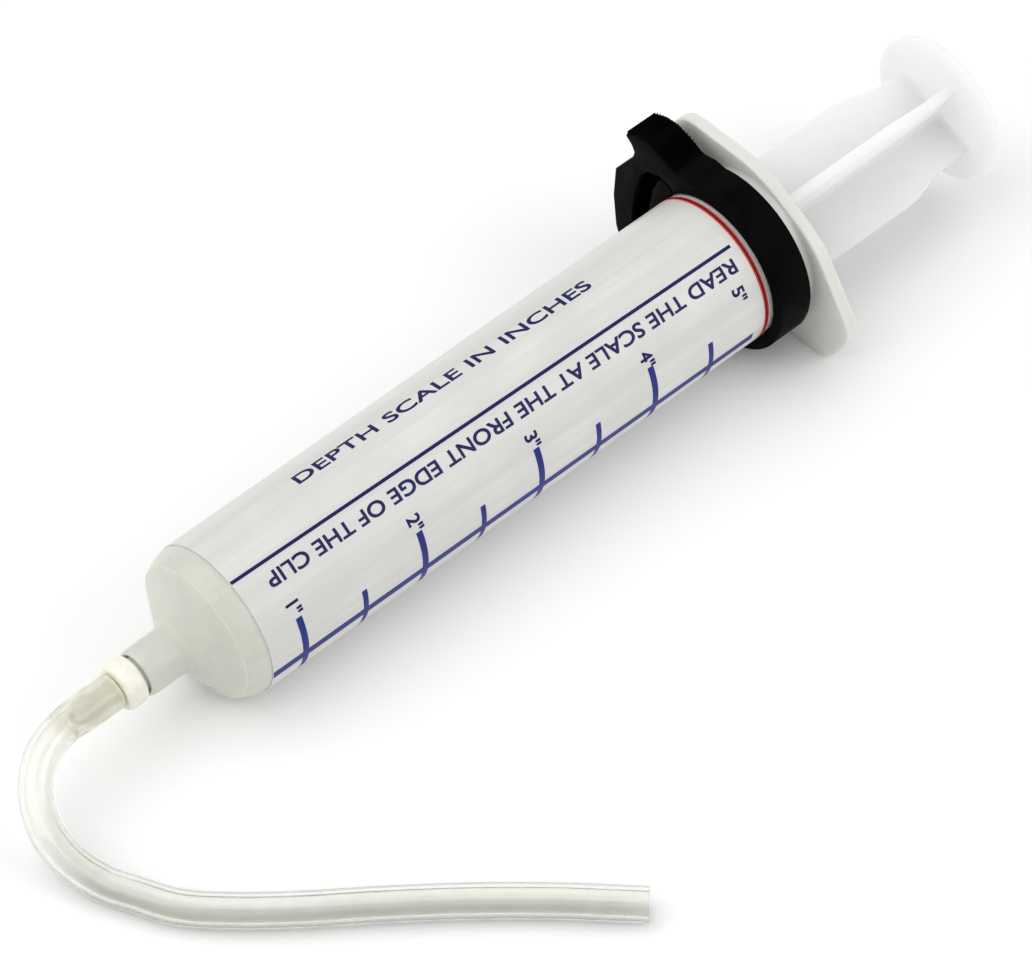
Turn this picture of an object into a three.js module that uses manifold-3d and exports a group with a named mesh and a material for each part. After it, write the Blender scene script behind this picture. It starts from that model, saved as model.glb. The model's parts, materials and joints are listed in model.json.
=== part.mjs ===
// A graduated syringe with a snap clamp on its barrel and a soft extension tube on its nozzle, lying on a
// table. Millimetres, +Z up. The table is Z = 0, and +X points from the nozzle towards the plunger.
//
// Every piece of the syringe is built in the syringe's own frame: X runs along its axis from the tip of the
// nozzle at 0 towards the plunger, Z is the side of the label that carries no print, and an angle "round" the
// axis is in degrees from Z towards Y. The whole syringe is then laid on the table, where it rests on three
// points: the front edge of its label, one wing of its finger flange and the lower tab of its clamp.

import * as THREE from "three";
import * as BufferGeometryUtils from "three/addons/utils/BufferGeometryUtils.js";
import Module from "manifold-3d";

const wasm = await Module();
wasm.setup();

// ---------------------------------------------------------------------------------------------------------
// Driving dimensions
// ---------------------------------------------------------------------------------------------------------

const AROUND = 48; // flat sides round a turned piece

const BARREL_RADIUS = 13.8;
const BARREL_WALL = 1.1;
const SHOULDER_X = 14.3; // edge between the cone and the rounded shoulder
const SHOULDER_DROP = 1.4; // how much narrower that edge is than the cylinder
const SHOULDER_LENGTH = 3.9; // length over which the shoulder swells to the cylinder
const CONE_WALL = 1.54; // measured along the axis
const CONE_FOOT_LENGTH = 1.1; // the cone runs out to the collar over this length
const CONE_FOOT_RISE = 1.0;
const FLANGE_X = 137.8; // side of the finger flange that faces the nozzle
const FLANGE_THICKNESS = 2.4;
const FLANGE_WING = 10.2; // how far its ends reach past the barrel
const FLANGE_SIDE = 0.6; // how far its sides reach past the barrel
const FLANGE_ROUND = 60; // angle of its long axis
const MOUTH_CHAMFER = 0.6;

const LUER_BORE_RADIUS = 1.2;
const LUER_TIP_RADIUS = 1.95;
const LUER_TAPER = 0.03; // growth in radius per millimetre, the standard 6 % taper on the diameter
const COLLAR_START_X = 2.0;
const COLLAR_END_X = 9.0;
const COLLAR_WALL = 0.65;
const COLLAR_FLOOR_X = 8.2;
const COLLAR_MOUTH_ROUND = 1.3; // length over which its mouth is rounded
const COLLAR_MOUTH_RIM = 0.15;

const LABEL_START_MARGIN = 4.2; // from the shoulder
const LABEL_END_MARGIN = 9.9; // from the flange
const LABEL_FILM = 0.12;
const LABEL_CLEARANCE = 0.04;

const STOPPER_FRONT_X = 52.5;
const STOPPER_LENGTH = 11.5;
const STOPPER_CONE = 4.4;
const STOPPER_CLEARANCE = 0.06;
const STOPPER_RIB_DEPTH = 0.7;
const STOPPER_RIBS = 3;
const STOPPER_RIB_SLOPE = 0.25; // share of a rib's width that slopes, on each side
const STOPPER_SOCKET_RADIUS = 6.8;
const STOPPER_SOCKET_DEPTH = 5.6;
const STOPPER_LIP = 1.8;

const ROD_CLEARANCE = 0.3;
const ROD_RIB_CLEARANCE = 1.7; // between the ribs and the bore
const ROD_RIB_THICKNESS = 1.8;
const ROD_RIB_ROUND = -25; // angle of the first of its four ribs
const ROD_TAPER = 10.5; // length over which the ribs curve in towards the disc
const ROD_TAPER_DEPTH = 1.9;
const ROD_TAPER_MARGIN = 5.5; // from the end of the taper to the disc
const ROD_WEB_CLEARANCE = 0.7; // between the web and the bore
const ROD_WEB_THICKNESS = 1.8;
const ROD_NECK_RADIUS = 4.4;
const ROD_HEAD_SLOPE_LENGTH = 1.0;
const ROD_HEAD_SLOPE_DEPTH = 0.8;
const DISC_MARGIN = 43.4; // from the flange
const DISC_RADIUS = 14.1;
const DISC_THICKNESS = 2.2;
const DISC_ROUND = 1.0;

const CLAMP_MARGIN = 9.5; // from the flange to the side of the clamp that faces the nozzle
const CLAMP_WIDTH = 6.9;
const CLAMP_CLEARANCE = 0.19; // between the clamp and the label
const CLAMP_BAND = 2.15;
const CLAMP_HINGE_ROUND = -104.5; // where the band flexes, opposite the latch
const CLAMP_HINGE_GAP = 0.75; // degrees of band left open on each side of the hinge
const CLAMP_GAP = 0.3; // left between the two jaws wherever they face each other
const TONGUE_HEIGHT = 0.2; // of the tongue's back, over the band
const LATCH_DEPTH = 3.1; // from the tongue's back to the root of the finger's teeth
const FINGER_THICKNESS = 4.8;
const TOOTH_DEPTH = 0.6;
const TOOTH_PITCH = 1.5; // degrees, seen from the hinge point
const TOOTH_LEAN = 0.85; // share of the pitch before the tooth's tip
const UPPER_TAB_HEIGHT = 10.6; // over the band
const UPPER_TAB_ROUND = 53;
const LOWER_TAB_HEIGHT = 3.2;
const LOWER_TAB_ROUND = 141;

// The outer face of a thumb tab: [share of its height, degrees before its tip].
const TAB_FACE = [[0.09, 31], [0.18, 21], [0.46, 16], [0.7, 12], [0.88, 6.5], [1, 0]];

// The latch, as [height, degrees], with the degrees seen from the hinge point.
const FINGER_BACK = [[-0.4, -13.2], [-1.5, -12], [-1.8, -9.6], [0.4, 0.3], [0, 10], [-0.4, 20], [-1.2, 29]];
const FINGER_TEETH = [29, -7];
const FINGER_ROOT = [[-0.7, -11], [-2.2, -13]];
const FINGER_ROOT_CORNER = [0.3, -14.4]; // over the gap that is left above the tongue
const TONGUE_BACK = [[0, -13], [0, -6], [-0.5, 3.8], [-0.3, 12], [0, 13.5]];
const TONGUE_TEETH = [14.5, 29.5];
const TONGUE_END = [[-0.6, 32.5], [-0.4, 35.5]];

// Where the jaws meet beside the barrel, as [height over the band's inside, degrees round].
const UPPER_LIP = [[2.2, 44], [0.9, 42.4], [0, 41.6]];
const LOWER_LIP = [[0, 43.4], [1.2, 44.6], [2.6, 46.6]];

const CONNECTOR_RING_X = 1.4; // side of the grip ring that faces the collar
const CONNECTOR_RING_LENGTH = 3.7;
const CONNECTOR_RING_RADIUS = 4.3;
const CONNECTOR_RING_ROUND = 1.3;
const CONNECTOR_HUB_END_X = 7.4;
const CONNECTOR_HUB_WALL = 0.678;
const CONNECTOR_CLEARANCE = 0.15;
const CONNECTOR_SOCKET_END_X = -1.6;
const CONNECTOR_LUG_LENGTH = 1.0;
const CONNECTOR_LUG_WIDTH = 3.2;
const CONNECTOR_LUG_HEIGHT = 0.5;
const BARB_LENGTH = 8.4;
const BARB_RADIUS = 2.3;
const BARB_TAPER = 3.0;
const BARB_BACK = 0.4;
const BARB_TIP_WALL = 0.4;
const BARB_NECK_RADIUS = 1.8;
const BARB_BORE_RADIUS = 1.0;

const TUBE_RADIUS = 2.9;
const TUBE_STRETCHED_WALL = 0.6;
const TUBE_END_WALL = 0.4; // round the end of the barb
const TUBE_SIDES = 12;
const TUBE_STEPS = 60;
const TUBE_GAP = 0.3;
const TUBE_PAST_BARB = 1.3; // straight length past the barb, before the tube begins to bend
const TUBE_SHRINK = 2.5; // length over which the tube narrows from the barb to its own size
const TUBE_LEAD = 1.0; // the bend begins along the axis
const TUBE_LIFT = 0.1;

// A quarter of the flange's outline, as shares of its half length and of its half width.
const FLANGE_QUARTER = [
  [0, 1],
  [0.2, 1],
  [0.4, 0.93],
  [0.6, 0.76],
  [0.77, 0.6],
  [0.87, 0.51],
  [0.945, 0.41],
  [0.985, 0.26],
  [1, 0],
];

// The rest of the tube's way down to the table and along it, from under the tip of the nozzle. The last
// number of each point is its height over the place where the tube lies flat.
const TUBE_ROUTE = [
  [-18, -1.4, 9.4],
  [-22.9, -4.9, 7.5],
  [-25.8, -9.9, 4.9],
  [-26.2, -15.7, 2.2],
  [-24.2, -22, 0.2],
  [-21.4, -27.7, 0],
  [-18, -34, 0],
  [-12, -40.3, 0],
  [-4.5, -46.8, 0],
  [5, -54.3, 0],
  [15.1, -62.6, 0],
  [25.5, -72.1, 0],
  [35.8, -82.5, 0],
];

// ---------------------------------------------------------------------------------------------------------
// Sizes that follow from the driving dimensions
// ---------------------------------------------------------------------------------------------------------

const CUT_PAST = 1; // how far a cutting shape runs past the face that it cuts
const BORE_RADIUS = BARREL_RADIUS - BARREL_WALL;
const MOUTH_X = FLANGE_X + FLANGE_THICKNESS;
const FLANGE_HALF_LENGTH = BARREL_RADIUS + FLANGE_WING;
const FLANGE_HALF_WIDTH = BARREL_RADIUS + FLANGE_SIDE;
const LABEL_START_X = SHOULDER_X + LABEL_START_MARGIN;
const LABEL_END_X = FLANGE_X - LABEL_END_MARGIN;
const LABEL_RADIUS = BARREL_RADIUS + LABEL_CLEARANCE + LABEL_FILM;

const STOPPER_BACK_X = STOPPER_FRONT_X + STOPPER_LENGTH;
const ROD_RIB_REACH = BORE_RADIUS - ROD_RIB_CLEARANCE;
const ROD_END_REACH = ROD_RIB_REACH - ROD_TAPER_DEPTH;
const ROD_WEB_RADIUS = BORE_RADIUS - ROD_WEB_CLEARANCE;
const DISC_X = FLANGE_X + DISC_MARGIN;

// The latch is measured as a reach from the hinge point, which lies on the band's outside opposite to it.
const CLAMP_X = FLANGE_X - CLAMP_MARGIN;
const CLAMP_INNER_RADIUS = LABEL_RADIUS + CLAMP_CLEARANCE;
const CLAMP_OUTER_RADIUS = CLAMP_INNER_RADIUS + CLAMP_BAND;
const TONGUE_REACH = 2 * CLAMP_OUTER_RADIUS + TONGUE_HEIGHT;
const TEETH_REACH = TONGUE_REACH + LATCH_DEPTH;
const FINGER_REACH = TEETH_REACH + FINGER_THICKNESS;
const UPPER_TAB_RADIUS = CLAMP_OUTER_RADIUS + UPPER_TAB_HEIGHT;
const LOWER_TAB_RADIUS = CLAMP_OUTER_RADIUS + LOWER_TAB_HEIGHT;

/** Radius of the connector's tapered socket, which follows the nozzle. */
const socketAt = (x) => LUER_TIP_RADIUS + LUER_TAPER * x + CONNECTOR_CLEARANCE;
const HUB_RADIUS = socketAt(CONNECTOR_HUB_END_X) + CONNECTOR_HUB_WALL;
const LUG_RADIUS = HUB_RADIUS + CONNECTOR_LUG_HEIGHT;
const COLLAR_POCKET_RADIUS = LUG_RADIUS + CONNECTOR_CLEARANCE;
const COLLAR_RADIUS = COLLAR_POCKET_RADIUS + COLLAR_WALL;

const RING_END_X = CONNECTOR_RING_X - CONNECTOR_RING_LENGTH;
const BARB_END_X = RING_END_X - BARB_LENGTH;
const TUBE_START_X = RING_END_X - TUBE_GAP;
const TUBE_STRAIGHT_END_X = BARB_END_X - TUBE_PAST_BARB;
const TUBE_SOCKET_RADIUS = BARB_RADIUS + TUBE_GAP;
const TUBE_STRETCHED_RADIUS = TUBE_SOCKET_RADIUS + TUBE_STRETCHED_WALL;

const ALONG = new THREE.Vector3(1, 0, 0);
const ACROSS = new THREE.Vector3(0, 1, 0);
const UP = new THREE.Vector3(0, 0, 1);

const degrees = THREE.MathUtils.degToRad;

// ---------------------------------------------------------------------------------------------------------
// Making solids
// ---------------------------------------------------------------------------------------------------------

/** A geometry as a solid that can be joined and cut. */
function solidOf(geometry) {
  const bare = geometry.clone();
  bare.deleteAttribute("normal");
  bare.deleteAttribute("uv");
  const merged = BufferGeometryUtils.mergeVertices(bare, 1e-4);
  const corners = merged.index.array;
  const triangles = [];
  for (let i = 0; i < corners.length; i += 3) {
    const [a, b, c] = corners.slice(i, i + 3);
    if (a !== b && b !== c && c !== a) {
      triangles.push(a, b, c);
    }
  }
  const mesh = new wasm.Mesh({
    numProp: 3,
    vertProperties: merged.attributes.position.array,
    triVerts: new Uint32Array(triangles),
  });
  return new wasm.Manifold(mesh);
}

/** A solid as a geometry for a mesh. */
function geometryOf(solid) {
  const mesh = solid.getMesh();
  const geometry = new THREE.BufferGeometry();
  geometry.setAttribute("position", new THREE.BufferAttribute(mesh.vertProperties, 3));
  geometry.setIndex(new THREE.BufferAttribute(mesh.triVerts, 1));
  geometry.computeVertexNormals();
  return geometry;
}

/** A solid of revolution round the syringe's axis. The outline is a list of [x, radius]. */
function turned(outline, sides = AROUND) {
  const points = outline.map(([x, radius]) => new THREE.Vector2(radius, x));
  const geometry = new THREE.LatheGeometry(points, sides);
  geometry.rotateZ(-Math.PI / 2);
  const solid = solidOf(geometry);
  return solid.volume() > 0 ? solid : solidOf(flipped(geometry));
}

/** The same surface facing the other way. */
function flipped(geometry) {
  const corners = geometry.index.array;
  for (let i = 0; i < corners.length; i += 3) {
    [corners[i], corners[i + 1]] = [corners[i + 1], corners[i]];
  }
  return geometry;
}

/** A plate across the syringe's axis. The outline is a list of [y, z]. */
function plate(outline, startX, thickness) {
  const shape = new THREE.Shape(outline.map(([y, z]) => new THREE.Vector2(y, z)));
  const geometry = new THREE.ExtrudeGeometry(shape, { depth: thickness, bevelEnabled: false });
  geometry.applyMatrix4(new THREE.Matrix4().makeBasis(ACROSS, UP, ALONG));
  geometry.translate(startX, 0, 0);
  return solidOf(geometry);
}

/** The [y, z] of a point at a radius and an angle round the axis, or round another centre. */
function polar(radius, round, centre = [0, 0]) {
  const angle = degrees(round);
  return [centre[0] + radius * Math.sin(angle), centre[1] + radius * Math.cos(angle)];
}

/** Points on an arc, both ends included. */
function arc(radius, from, to, centre = [0, 0], step = 7.5) {
  const count = Math.max(1, Math.round(Math.abs(to - from) / step));
  const at = (i) => polar(radius, from + ((to - from) * i) / count, centre);
  return Array.from({ length: count + 1 }, (_, i) => at(i));
}

/** A quarter round of [x, radius] points that turns a corner of an outline. */
function corner(centreX, centreRadius, size, from, to, count = 4) {
  const at = (i) => degrees(from + ((to - from) * i) / count);
  return Array.from({ length: count + 1 }, (_, i) => [
    centreX + size * Math.cos(at(i)),
    centreRadius + size * Math.sin(at(i)),
  ]);
}

function piece(name, solid, color, roughness) {
  const material = new THREE.MeshStandardMaterial({ color, roughness, metalness: 0 });
  const mesh = new THREE.Mesh(geometryOf(solid), material);
  mesh.name = name;
  return mesh;
}

// ---------------------------------------------------------------------------------------------------------
// Barrel and label
// ---------------------------------------------------------------------------------------------------------

/** The outline of the flange: its quarter, mirrored four ways, with a smooth curve through the points. */
function flangeOutline(count = 72) {
  const quarter = FLANGE_QUARTER.slice(0, -1);
  const next = FLANGE_QUARTER.slice(1).reverse();
  const mirrored = (points, long, wide) => points.map(([a, b]) => new THREE.Vector3(a * long, b * wide, 0));
  const [long, wide] = [FLANGE_HALF_LENGTH, FLANGE_HALF_WIDTH];
  const corners = [
    ...mirrored(quarter, long, wide),
    ...mirrored(next, long, -wide),
    ...mirrored(quarter, -long, -wide),
    ...mirrored(next, -long, wide),
  ];
  const curve = new THREE.CatmullRomCurve3(corners, true, "centripetal");
  const tilt = degrees(90 - FLANGE_ROUND);
  return curve
    .getPoints(count)
    .slice(0, -1)
    .reverse()
    .map((point) => point.applyAxisAngle(UP, tilt))
    .map(({ x, y }) => [x, y]);
}

/** The rounded shoulder as [x, radius], from its edge to the cylinder of a given radius. */
function shoulder(startX, radius, count = 6) {
  return Array.from({ length: count + 1 }, (_, i) => {
    const share = i / count;
    const drop = SHOULDER_DROP * (1 - Math.sin((Math.PI / 2) * share));
    return [startX + SHOULDER_LENGTH * share, radius - drop];
  });
}

/** The rounded mouth of the collar as [x, radius], from its rim to its outside. */
function collarMouth(count = 3) {
  const rim = COLLAR_POCKET_RADIUS + COLLAR_MOUTH_RIM;
  return Array.from({ length: count + 1 }, (_, i) => {
    const turn = (Math.PI / 2) * (i / count);
    const x = COLLAR_START_X + COLLAR_MOUTH_ROUND * (1 - Math.cos(turn));
    return [x, rim + (COLLAR_RADIUS - rim) * Math.sin(turn)];
  });
}

function barrel() {
  const luerRadius = LUER_TIP_RADIUS + LUER_TAPER * COLLAR_FLOOR_X;
  const wall = turned([
    [0, LUER_BORE_RADIUS],
    [0, LUER_TIP_RADIUS],
    [COLLAR_FLOOR_X, luerRadius],
    [COLLAR_FLOOR_X, COLLAR_POCKET_RADIUS],
    [COLLAR_START_X, COLLAR_POCKET_RADIUS],
    ...collarMouth(),
    [COLLAR_END_X, COLLAR_RADIUS],
    [COLLAR_END_X + CONE_FOOT_LENGTH, COLLAR_RADIUS + CONE_FOOT_RISE],
    ...shoulder(SHOULDER_X, BARREL_RADIUS),
    [MOUTH_X, BARREL_RADIUS],
    [MOUTH_X, BORE_RADIUS + MOUTH_CHAMFER],
    [MOUTH_X - MOUTH_CHAMFER, BORE_RADIUS],
    ...shoulder(SHOULDER_X + CONE_WALL, BORE_RADIUS).reverse(),
    [COLLAR_FLOOR_X + CONE_WALL, LUER_BORE_RADIUS],
    [0, LUER_BORE_RADIUS],
  ]);
  const hole = turned([
    [FLANGE_X - CUT_PAST, 0],
    [FLANGE_X - CUT_PAST, BARREL_RADIUS - BARREL_WALL / 2],
    [MOUTH_X + CUT_PAST, BARREL_RADIUS - BARREL_WALL / 2],
    [MOUTH_X + CUT_PAST, 0],
  ]);
  const flange = plate(flangeOutline(), FLANGE_X, FLANGE_THICKNESS).subtract(hole);
  return piece("barrel", wall.add(flange), 0xcdd0c4, 0.35);
}

function scaleLabel() {
  const inner = BARREL_RADIUS + LABEL_CLEARANCE;
  const film = turned([
    [LABEL_START_X, inner],
    [LABEL_START_X, LABEL_RADIUS],
    [LABEL_END_X, LABEL_RADIUS],
    [LABEL_END_X, inner],
    [LABEL_START_X, inner],
  ]);
  return piece("scale_label", film, 0xe8e9e4, 0.4);
}

// ---------------------------------------------------------------------------------------------------------
// Plunger
// ---------------------------------------------------------------------------------------------------------

/** The rubber stopper: a cone in front, sealing ribs round it, and a socket for the rod behind. */
function stopper() {
  const ribRadius = BORE_RADIUS - STOPPER_CLEARANCE;
  const grooveRadius = ribRadius - STOPPER_RIB_DEPTH;
  const ribsStart = STOPPER_FRONT_X + STOPPER_CONE;
  const pitch = (STOPPER_BACK_X - ribsStart) / (2 * STOPPER_RIBS - 1);
  const outline = [[STOPPER_FRONT_X, 0]];
  for (let rib = 0; rib < STOPPER_RIBS; rib++) {
    const x = ribsStart + 2 * rib * pitch;
    const slope = pitch * STOPPER_RIB_SLOPE;
    outline.push([x, grooveRadius], [x + slope, ribRadius]);
    outline.push([x + pitch - slope, ribRadius], [x + pitch, grooveRadius]);
  }
  outline.push(
    [STOPPER_BACK_X, ROD_NECK_RADIUS + ROD_CLEARANCE],
    [STOPPER_BACK_X - STOPPER_LIP, ROD_NECK_RADIUS + ROD_CLEARANCE],
    [STOPPER_BACK_X - STOPPER_LIP, STOPPER_SOCKET_RADIUS],
    [STOPPER_BACK_X - STOPPER_SOCKET_DEPTH, STOPPER_SOCKET_RADIUS],
    [STOPPER_BACK_X - STOPPER_SOCKET_DEPTH, 0],
  );
  return piece("stopper", turned(outline), 0x2b2b2c, 0.6);
}

/** The length of one rib plate, seen from the side: straight, curving in, and straight again to the disc. */
function ribPlate(startX) {
  const shape = new THREE.Shape();
  const taperEndX = DISC_X - ROD_TAPER_MARGIN;
  const curveX = taperEndX - ROD_TAPER;
  const middleX = taperEndX - ROD_TAPER / 2;
  const endX = DISC_X + DISC_THICKNESS / 2;
  shape.moveTo(startX, -ROD_RIB_REACH);
  shape.lineTo(curveX, -ROD_RIB_REACH);
  shape.bezierCurveTo(middleX, -ROD_RIB_REACH, middleX, -ROD_END_REACH, taperEndX, -ROD_END_REACH);
  shape.lineTo(endX, -ROD_END_REACH);
  shape.lineTo(endX, ROD_END_REACH);
  shape.lineTo(taperEndX, ROD_END_REACH);
  shape.bezierCurveTo(middleX, ROD_END_REACH, middleX, ROD_RIB_REACH, curveX, ROD_RIB_REACH);
  shape.lineTo(startX, ROD_RIB_REACH);
  const settings = { depth: ROD_RIB_THICKNESS, bevelEnabled: false, curveSegments: 8 };
  const geometry = new THREE.ExtrudeGeometry(shape, settings);
  geometry.translate(0, 0, -ROD_RIB_THICKNESS / 2);
  return geometry;
}

/** The rod: a head that snaps into the stopper, a round web, four ribs and the thumb disc. */
function plungerRod() {
  const webX = STOPPER_BACK_X + ROD_CLEARANCE;
  const ribsX = webX + ROD_WEB_THICKNESS;
  const headStart = STOPPER_BACK_X - STOPPER_SOCKET_DEPTH + ROD_CLEARANCE;
  const headEnd = STOPPER_BACK_X - STOPPER_LIP - ROD_CLEARANCE;
  const headRadius = STOPPER_SOCKET_RADIUS - ROD_CLEARANCE;
  const front = turned([
    [headStart, 0],
    [headStart, headRadius - ROD_HEAD_SLOPE_DEPTH],
    [headStart + ROD_HEAD_SLOPE_LENGTH, headRadius],
    [headEnd, headRadius],
    [headEnd, ROD_NECK_RADIUS],
    [webX, ROD_NECK_RADIUS],
    [webX, ROD_WEB_RADIUS],
    [ribsX, ROD_WEB_RADIUS],
    [ribsX, 0],
  ]);
  const discEnd = DISC_X + DISC_THICKNESS;
  const disc = turned([
    [DISC_X, 0],
    ...corner(DISC_X + DISC_ROUND, DISC_RADIUS - DISC_ROUND, DISC_ROUND, 180, 90),
    ...corner(discEnd - DISC_ROUND, DISC_RADIUS - DISC_ROUND, DISC_ROUND, 90, 0),
    [discEnd, 0],
  ]);
  let solid = front.add(disc);
  for (const turn of [0, 90]) {
    const rib = ribPlate(ribsX - ROD_WEB_THICKNESS / 2);
    rib.rotateX(degrees(90 - ROD_RIB_ROUND + turn));
    solid = solid.add(solidOf(rib));
  }
  return piece("plunger_rod", solid, 0xe1e4e2, 0.5);
}

// ---------------------------------------------------------------------------------------------------------
// Snap clamp: one moulding that flexes open at its back, modelled as two jaws hinged there
// ---------------------------------------------------------------------------------------------------------

const HINGE = polar(CLAMP_OUTER_RADIUS, CLAMP_HINGE_ROUND);
const LATCH_ROUND = CLAMP_HINGE_ROUND + 180; // direction of the latch, seen from the hinge point

/** A point of the latch: a reach from the hinge point, and an angle from the latch's own direction. */
function latch(reach, turn) {
  return polar(reach, LATCH_ROUND + turn, HINGE);
}

/** Saw teeth along an arc round the hinge point, from one turn to another. */
function sawTeeth(reach, depth, from, to) {
  const count = Math.round(Math.abs(to - from) / TOOTH_PITCH);
  const pitch = (to - from) / count;
  const points = [];
  for (let tooth = 0; tooth < count; tooth++) {
    points.push(latch(reach, from + tooth * pitch));
    points.push(latch(reach + depth, from + (tooth + TOOTH_LEAN) * pitch));
  }
  points.push(latch(reach, to));
  return points;
}

/** The outer face of a thumb tab, from the band out to its tip. side is 1 where the band comes first. */
function tabFace(radius, round, side) {
  const rise = radius - CLAMP_OUTER_RADIUS;
  return TAB_FACE.map(([share, back]) => polar(CLAMP_OUTER_RADIUS + share * rise, round - side * back));
}

/** Points of the latch, from a list of [height, degrees] over a reach. */
function latchPoints(reach, list) {
  return list.map(([height, turn]) => latch(reach + height, turn));
}

/** Points of a jaw's lip, from a list of [height, degrees round] over the band's inside. */
function lipPoints(list) {
  return list.map(([height, round]) => polar(CLAMP_INNER_RADIUS + height, round));
}

function upperJaw() {
  const bandStart = CLAMP_HINGE_ROUND + CLAMP_HINGE_GAP;
  const rootReach = TONGUE_REACH + CLAMP_GAP;
  const outline = [
    ...arc(CLAMP_OUTER_RADIUS, bandStart, 0),
    ...tabFace(UPPER_TAB_RADIUS, UPPER_TAB_ROUND, 1),
    ...latchPoints(FINGER_REACH, FINGER_BACK),
    ...sawTeeth(TEETH_REACH, TOOTH_DEPTH, ...FINGER_TEETH),
    ...latchPoints(TEETH_REACH, FINGER_ROOT),
    ...latchPoints(rootReach, [FINGER_ROOT_CORNER]),
    ...lipPoints(UPPER_LIP),
    ...arc(CLAMP_INNER_RADIUS, UPPER_LIP.at(-1)[1], bandStart).slice(1),
  ];
  return piece("clamp_upper_jaw", plate(outline, CLAMP_X, CLAMP_WIDTH), 0x17191a, 0.55);
}

function lowerJaw() {
  const bandEnd = 360 + CLAMP_HINGE_ROUND - CLAMP_HINGE_GAP;
  const tipReach = TEETH_REACH - CLAMP_GAP - TOOTH_DEPTH;
  const outline = [
    ...lipPoints(LOWER_LIP),
    ...latchPoints(TONGUE_REACH, TONGUE_BACK),
    ...sawTeeth(tipReach, TOOTH_DEPTH, ...TONGUE_TEETH),
    ...latchPoints(TONGUE_REACH, TONGUE_END),
    ...tabFace(LOWER_TAB_RADIUS, LOWER_TAB_ROUND, -1).reverse(),
    ...arc(CLAMP_OUTER_RADIUS, 180, bandEnd),
    ...arc(CLAMP_INNER_RADIUS, bandEnd, LOWER_LIP[0][1]).slice(0, -1),
  ];
  return piece("clamp_lower_jaw", plate(outline, CLAMP_X, CLAMP_WIDTH), 0x17191a, 0.55);
}

// ---------------------------------------------------------------------------------------------------------
// Tube connector
// ---------------------------------------------------------------------------------------------------------

/** A female luer hub with two lugs that screws into the collar, a grip ring and a hose barb. */
function tubeConnector() {
  const ringFront = CONNECTOR_RING_X;
  const round = CONNECTOR_RING_ROUND;
  const ringMiddle = CONNECTOR_RING_RADIUS - round;
  const body = turned([
    [CONNECTOR_HUB_END_X, socketAt(CONNECTOR_HUB_END_X)],
    [CONNECTOR_HUB_END_X, HUB_RADIUS],
    [ringFront, HUB_RADIUS],
    ...corner(ringFront - round, ringMiddle, round, 0, 90),
    ...corner(RING_END_X + round, ringMiddle, round, 90, 180),
    [RING_END_X, BARB_NECK_RADIUS],
    [BARB_END_X + BARB_TAPER + BARB_BACK, BARB_NECK_RADIUS],
    [BARB_END_X + BARB_TAPER, BARB_RADIUS],
    [BARB_END_X, BARB_BORE_RADIUS + BARB_TIP_WALL],
    [BARB_END_X, BARB_BORE_RADIUS],
    [CONNECTOR_SOCKET_END_X, BARB_BORE_RADIUS],
    [CONNECTOR_SOCKET_END_X, socketAt(CONNECTOR_SOCKET_END_X)],
    [CONNECTOR_HUB_END_X, socketAt(CONNECTOR_HUB_END_X)],
  ]);
  const lugStartX = CONNECTOR_HUB_END_X - CONNECTOR_LUG_LENGTH;
  const lugRootRadius = HUB_RADIUS - CONNECTOR_HUB_WALL / 2;
  const lugRing = turned([
    [lugStartX, lugRootRadius],
    [lugStartX, LUG_RADIUS],
    [CONNECTOR_HUB_END_X, LUG_RADIUS],
    [CONNECTOR_HUB_END_X, lugRootRadius],
    [lugStartX, lugRootRadius],
  ]);
  const across = new THREE.BoxGeometry(4 * CONNECTOR_LUG_LENGTH, 3 * LUG_RADIUS, CONNECTOR_LUG_WIDTH);
  across.translate(CONNECTOR_HUB_END_X - CONNECTOR_LUG_LENGTH / 2, 0, 0);
  const lugs = lugRing.intersect(solidOf(across));
  return piece("tube_connector", body.add(lugs), 0xe6e4d2, 0.45);
}

// ---------------------------------------------------------------------------------------------------------
// Laying the syringe on the table
// ---------------------------------------------------------------------------------------------------------

function lyingTurn(roll, tilt) {
  const rolled = new THREE.Quaternion().setFromAxisAngle(ALONG, roll);
  const tilted = new THREE.Quaternion().setFromAxisAngle(ACROSS, -tilt);
  return tilted.multiply(rolled);
}

const HALVINGS = 40;
const MOST_TILT = 15;
const MOST_ROLL = 25;

/** The value between low and high where a rising or falling function passes zero. */
function zeroBetween(low, high, value) {
  const startsPositive = value(low) > 0;
  for (let step = 0; step < HALVINGS; step++) {
    const middle = (low + high) / 2;
    if (value(middle) > 0 === startsPositive) {
      low = middle;
    } else {
      high = middle;
    }
  }
  return (low + high) / 2;
}

/** How the syringe lies: its label's edge, a wing of its flange and its clamp's lower tab touch the table. */
function restingTurn() {
  const both = (startX, thickness, outline) =>
    outline.flatMap(([y, z]) => [
      new THREE.Vector3(startX, y, z),
      new THREE.Vector3(startX + thickness, y, z),
    ]);
  const wing = both(FLANGE_X, FLANGE_THICKNESS, flangeOutline());
  const tab = both(CLAMP_X, CLAMP_WIDTH, tabFace(LOWER_TAB_RADIUS, LOWER_TAB_ROUND, -1));
  const front = both(LABEL_START_X, 0, arc(LABEL_RADIUS, 0, 360, [0, 0], 360 / AROUND));
  const lowest = (points, roll, tilt) => {
    const turn = lyingTurn(roll, tilt);
    return Math.min(...points.map((point) => point.clone().applyQuaternion(turn).z));
  };
  const tiltFor = (roll) =>
    zeroBetween(0, degrees(MOST_TILT), (tilt) => {
      const rear = Math.min(lowest(wing, roll, tilt), lowest(tab, roll, tilt));
      return rear - lowest(front, roll, tilt);
    });
  const roll = zeroBetween(degrees(-MOST_ROLL), degrees(MOST_ROLL), (turn) => {
    const tilt = tiltFor(turn);
    return lowest(wing, turn, tilt) - lowest(tab, turn, tilt);
  });
  return lyingTurn(roll, tiltFor(roll));
}

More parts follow.
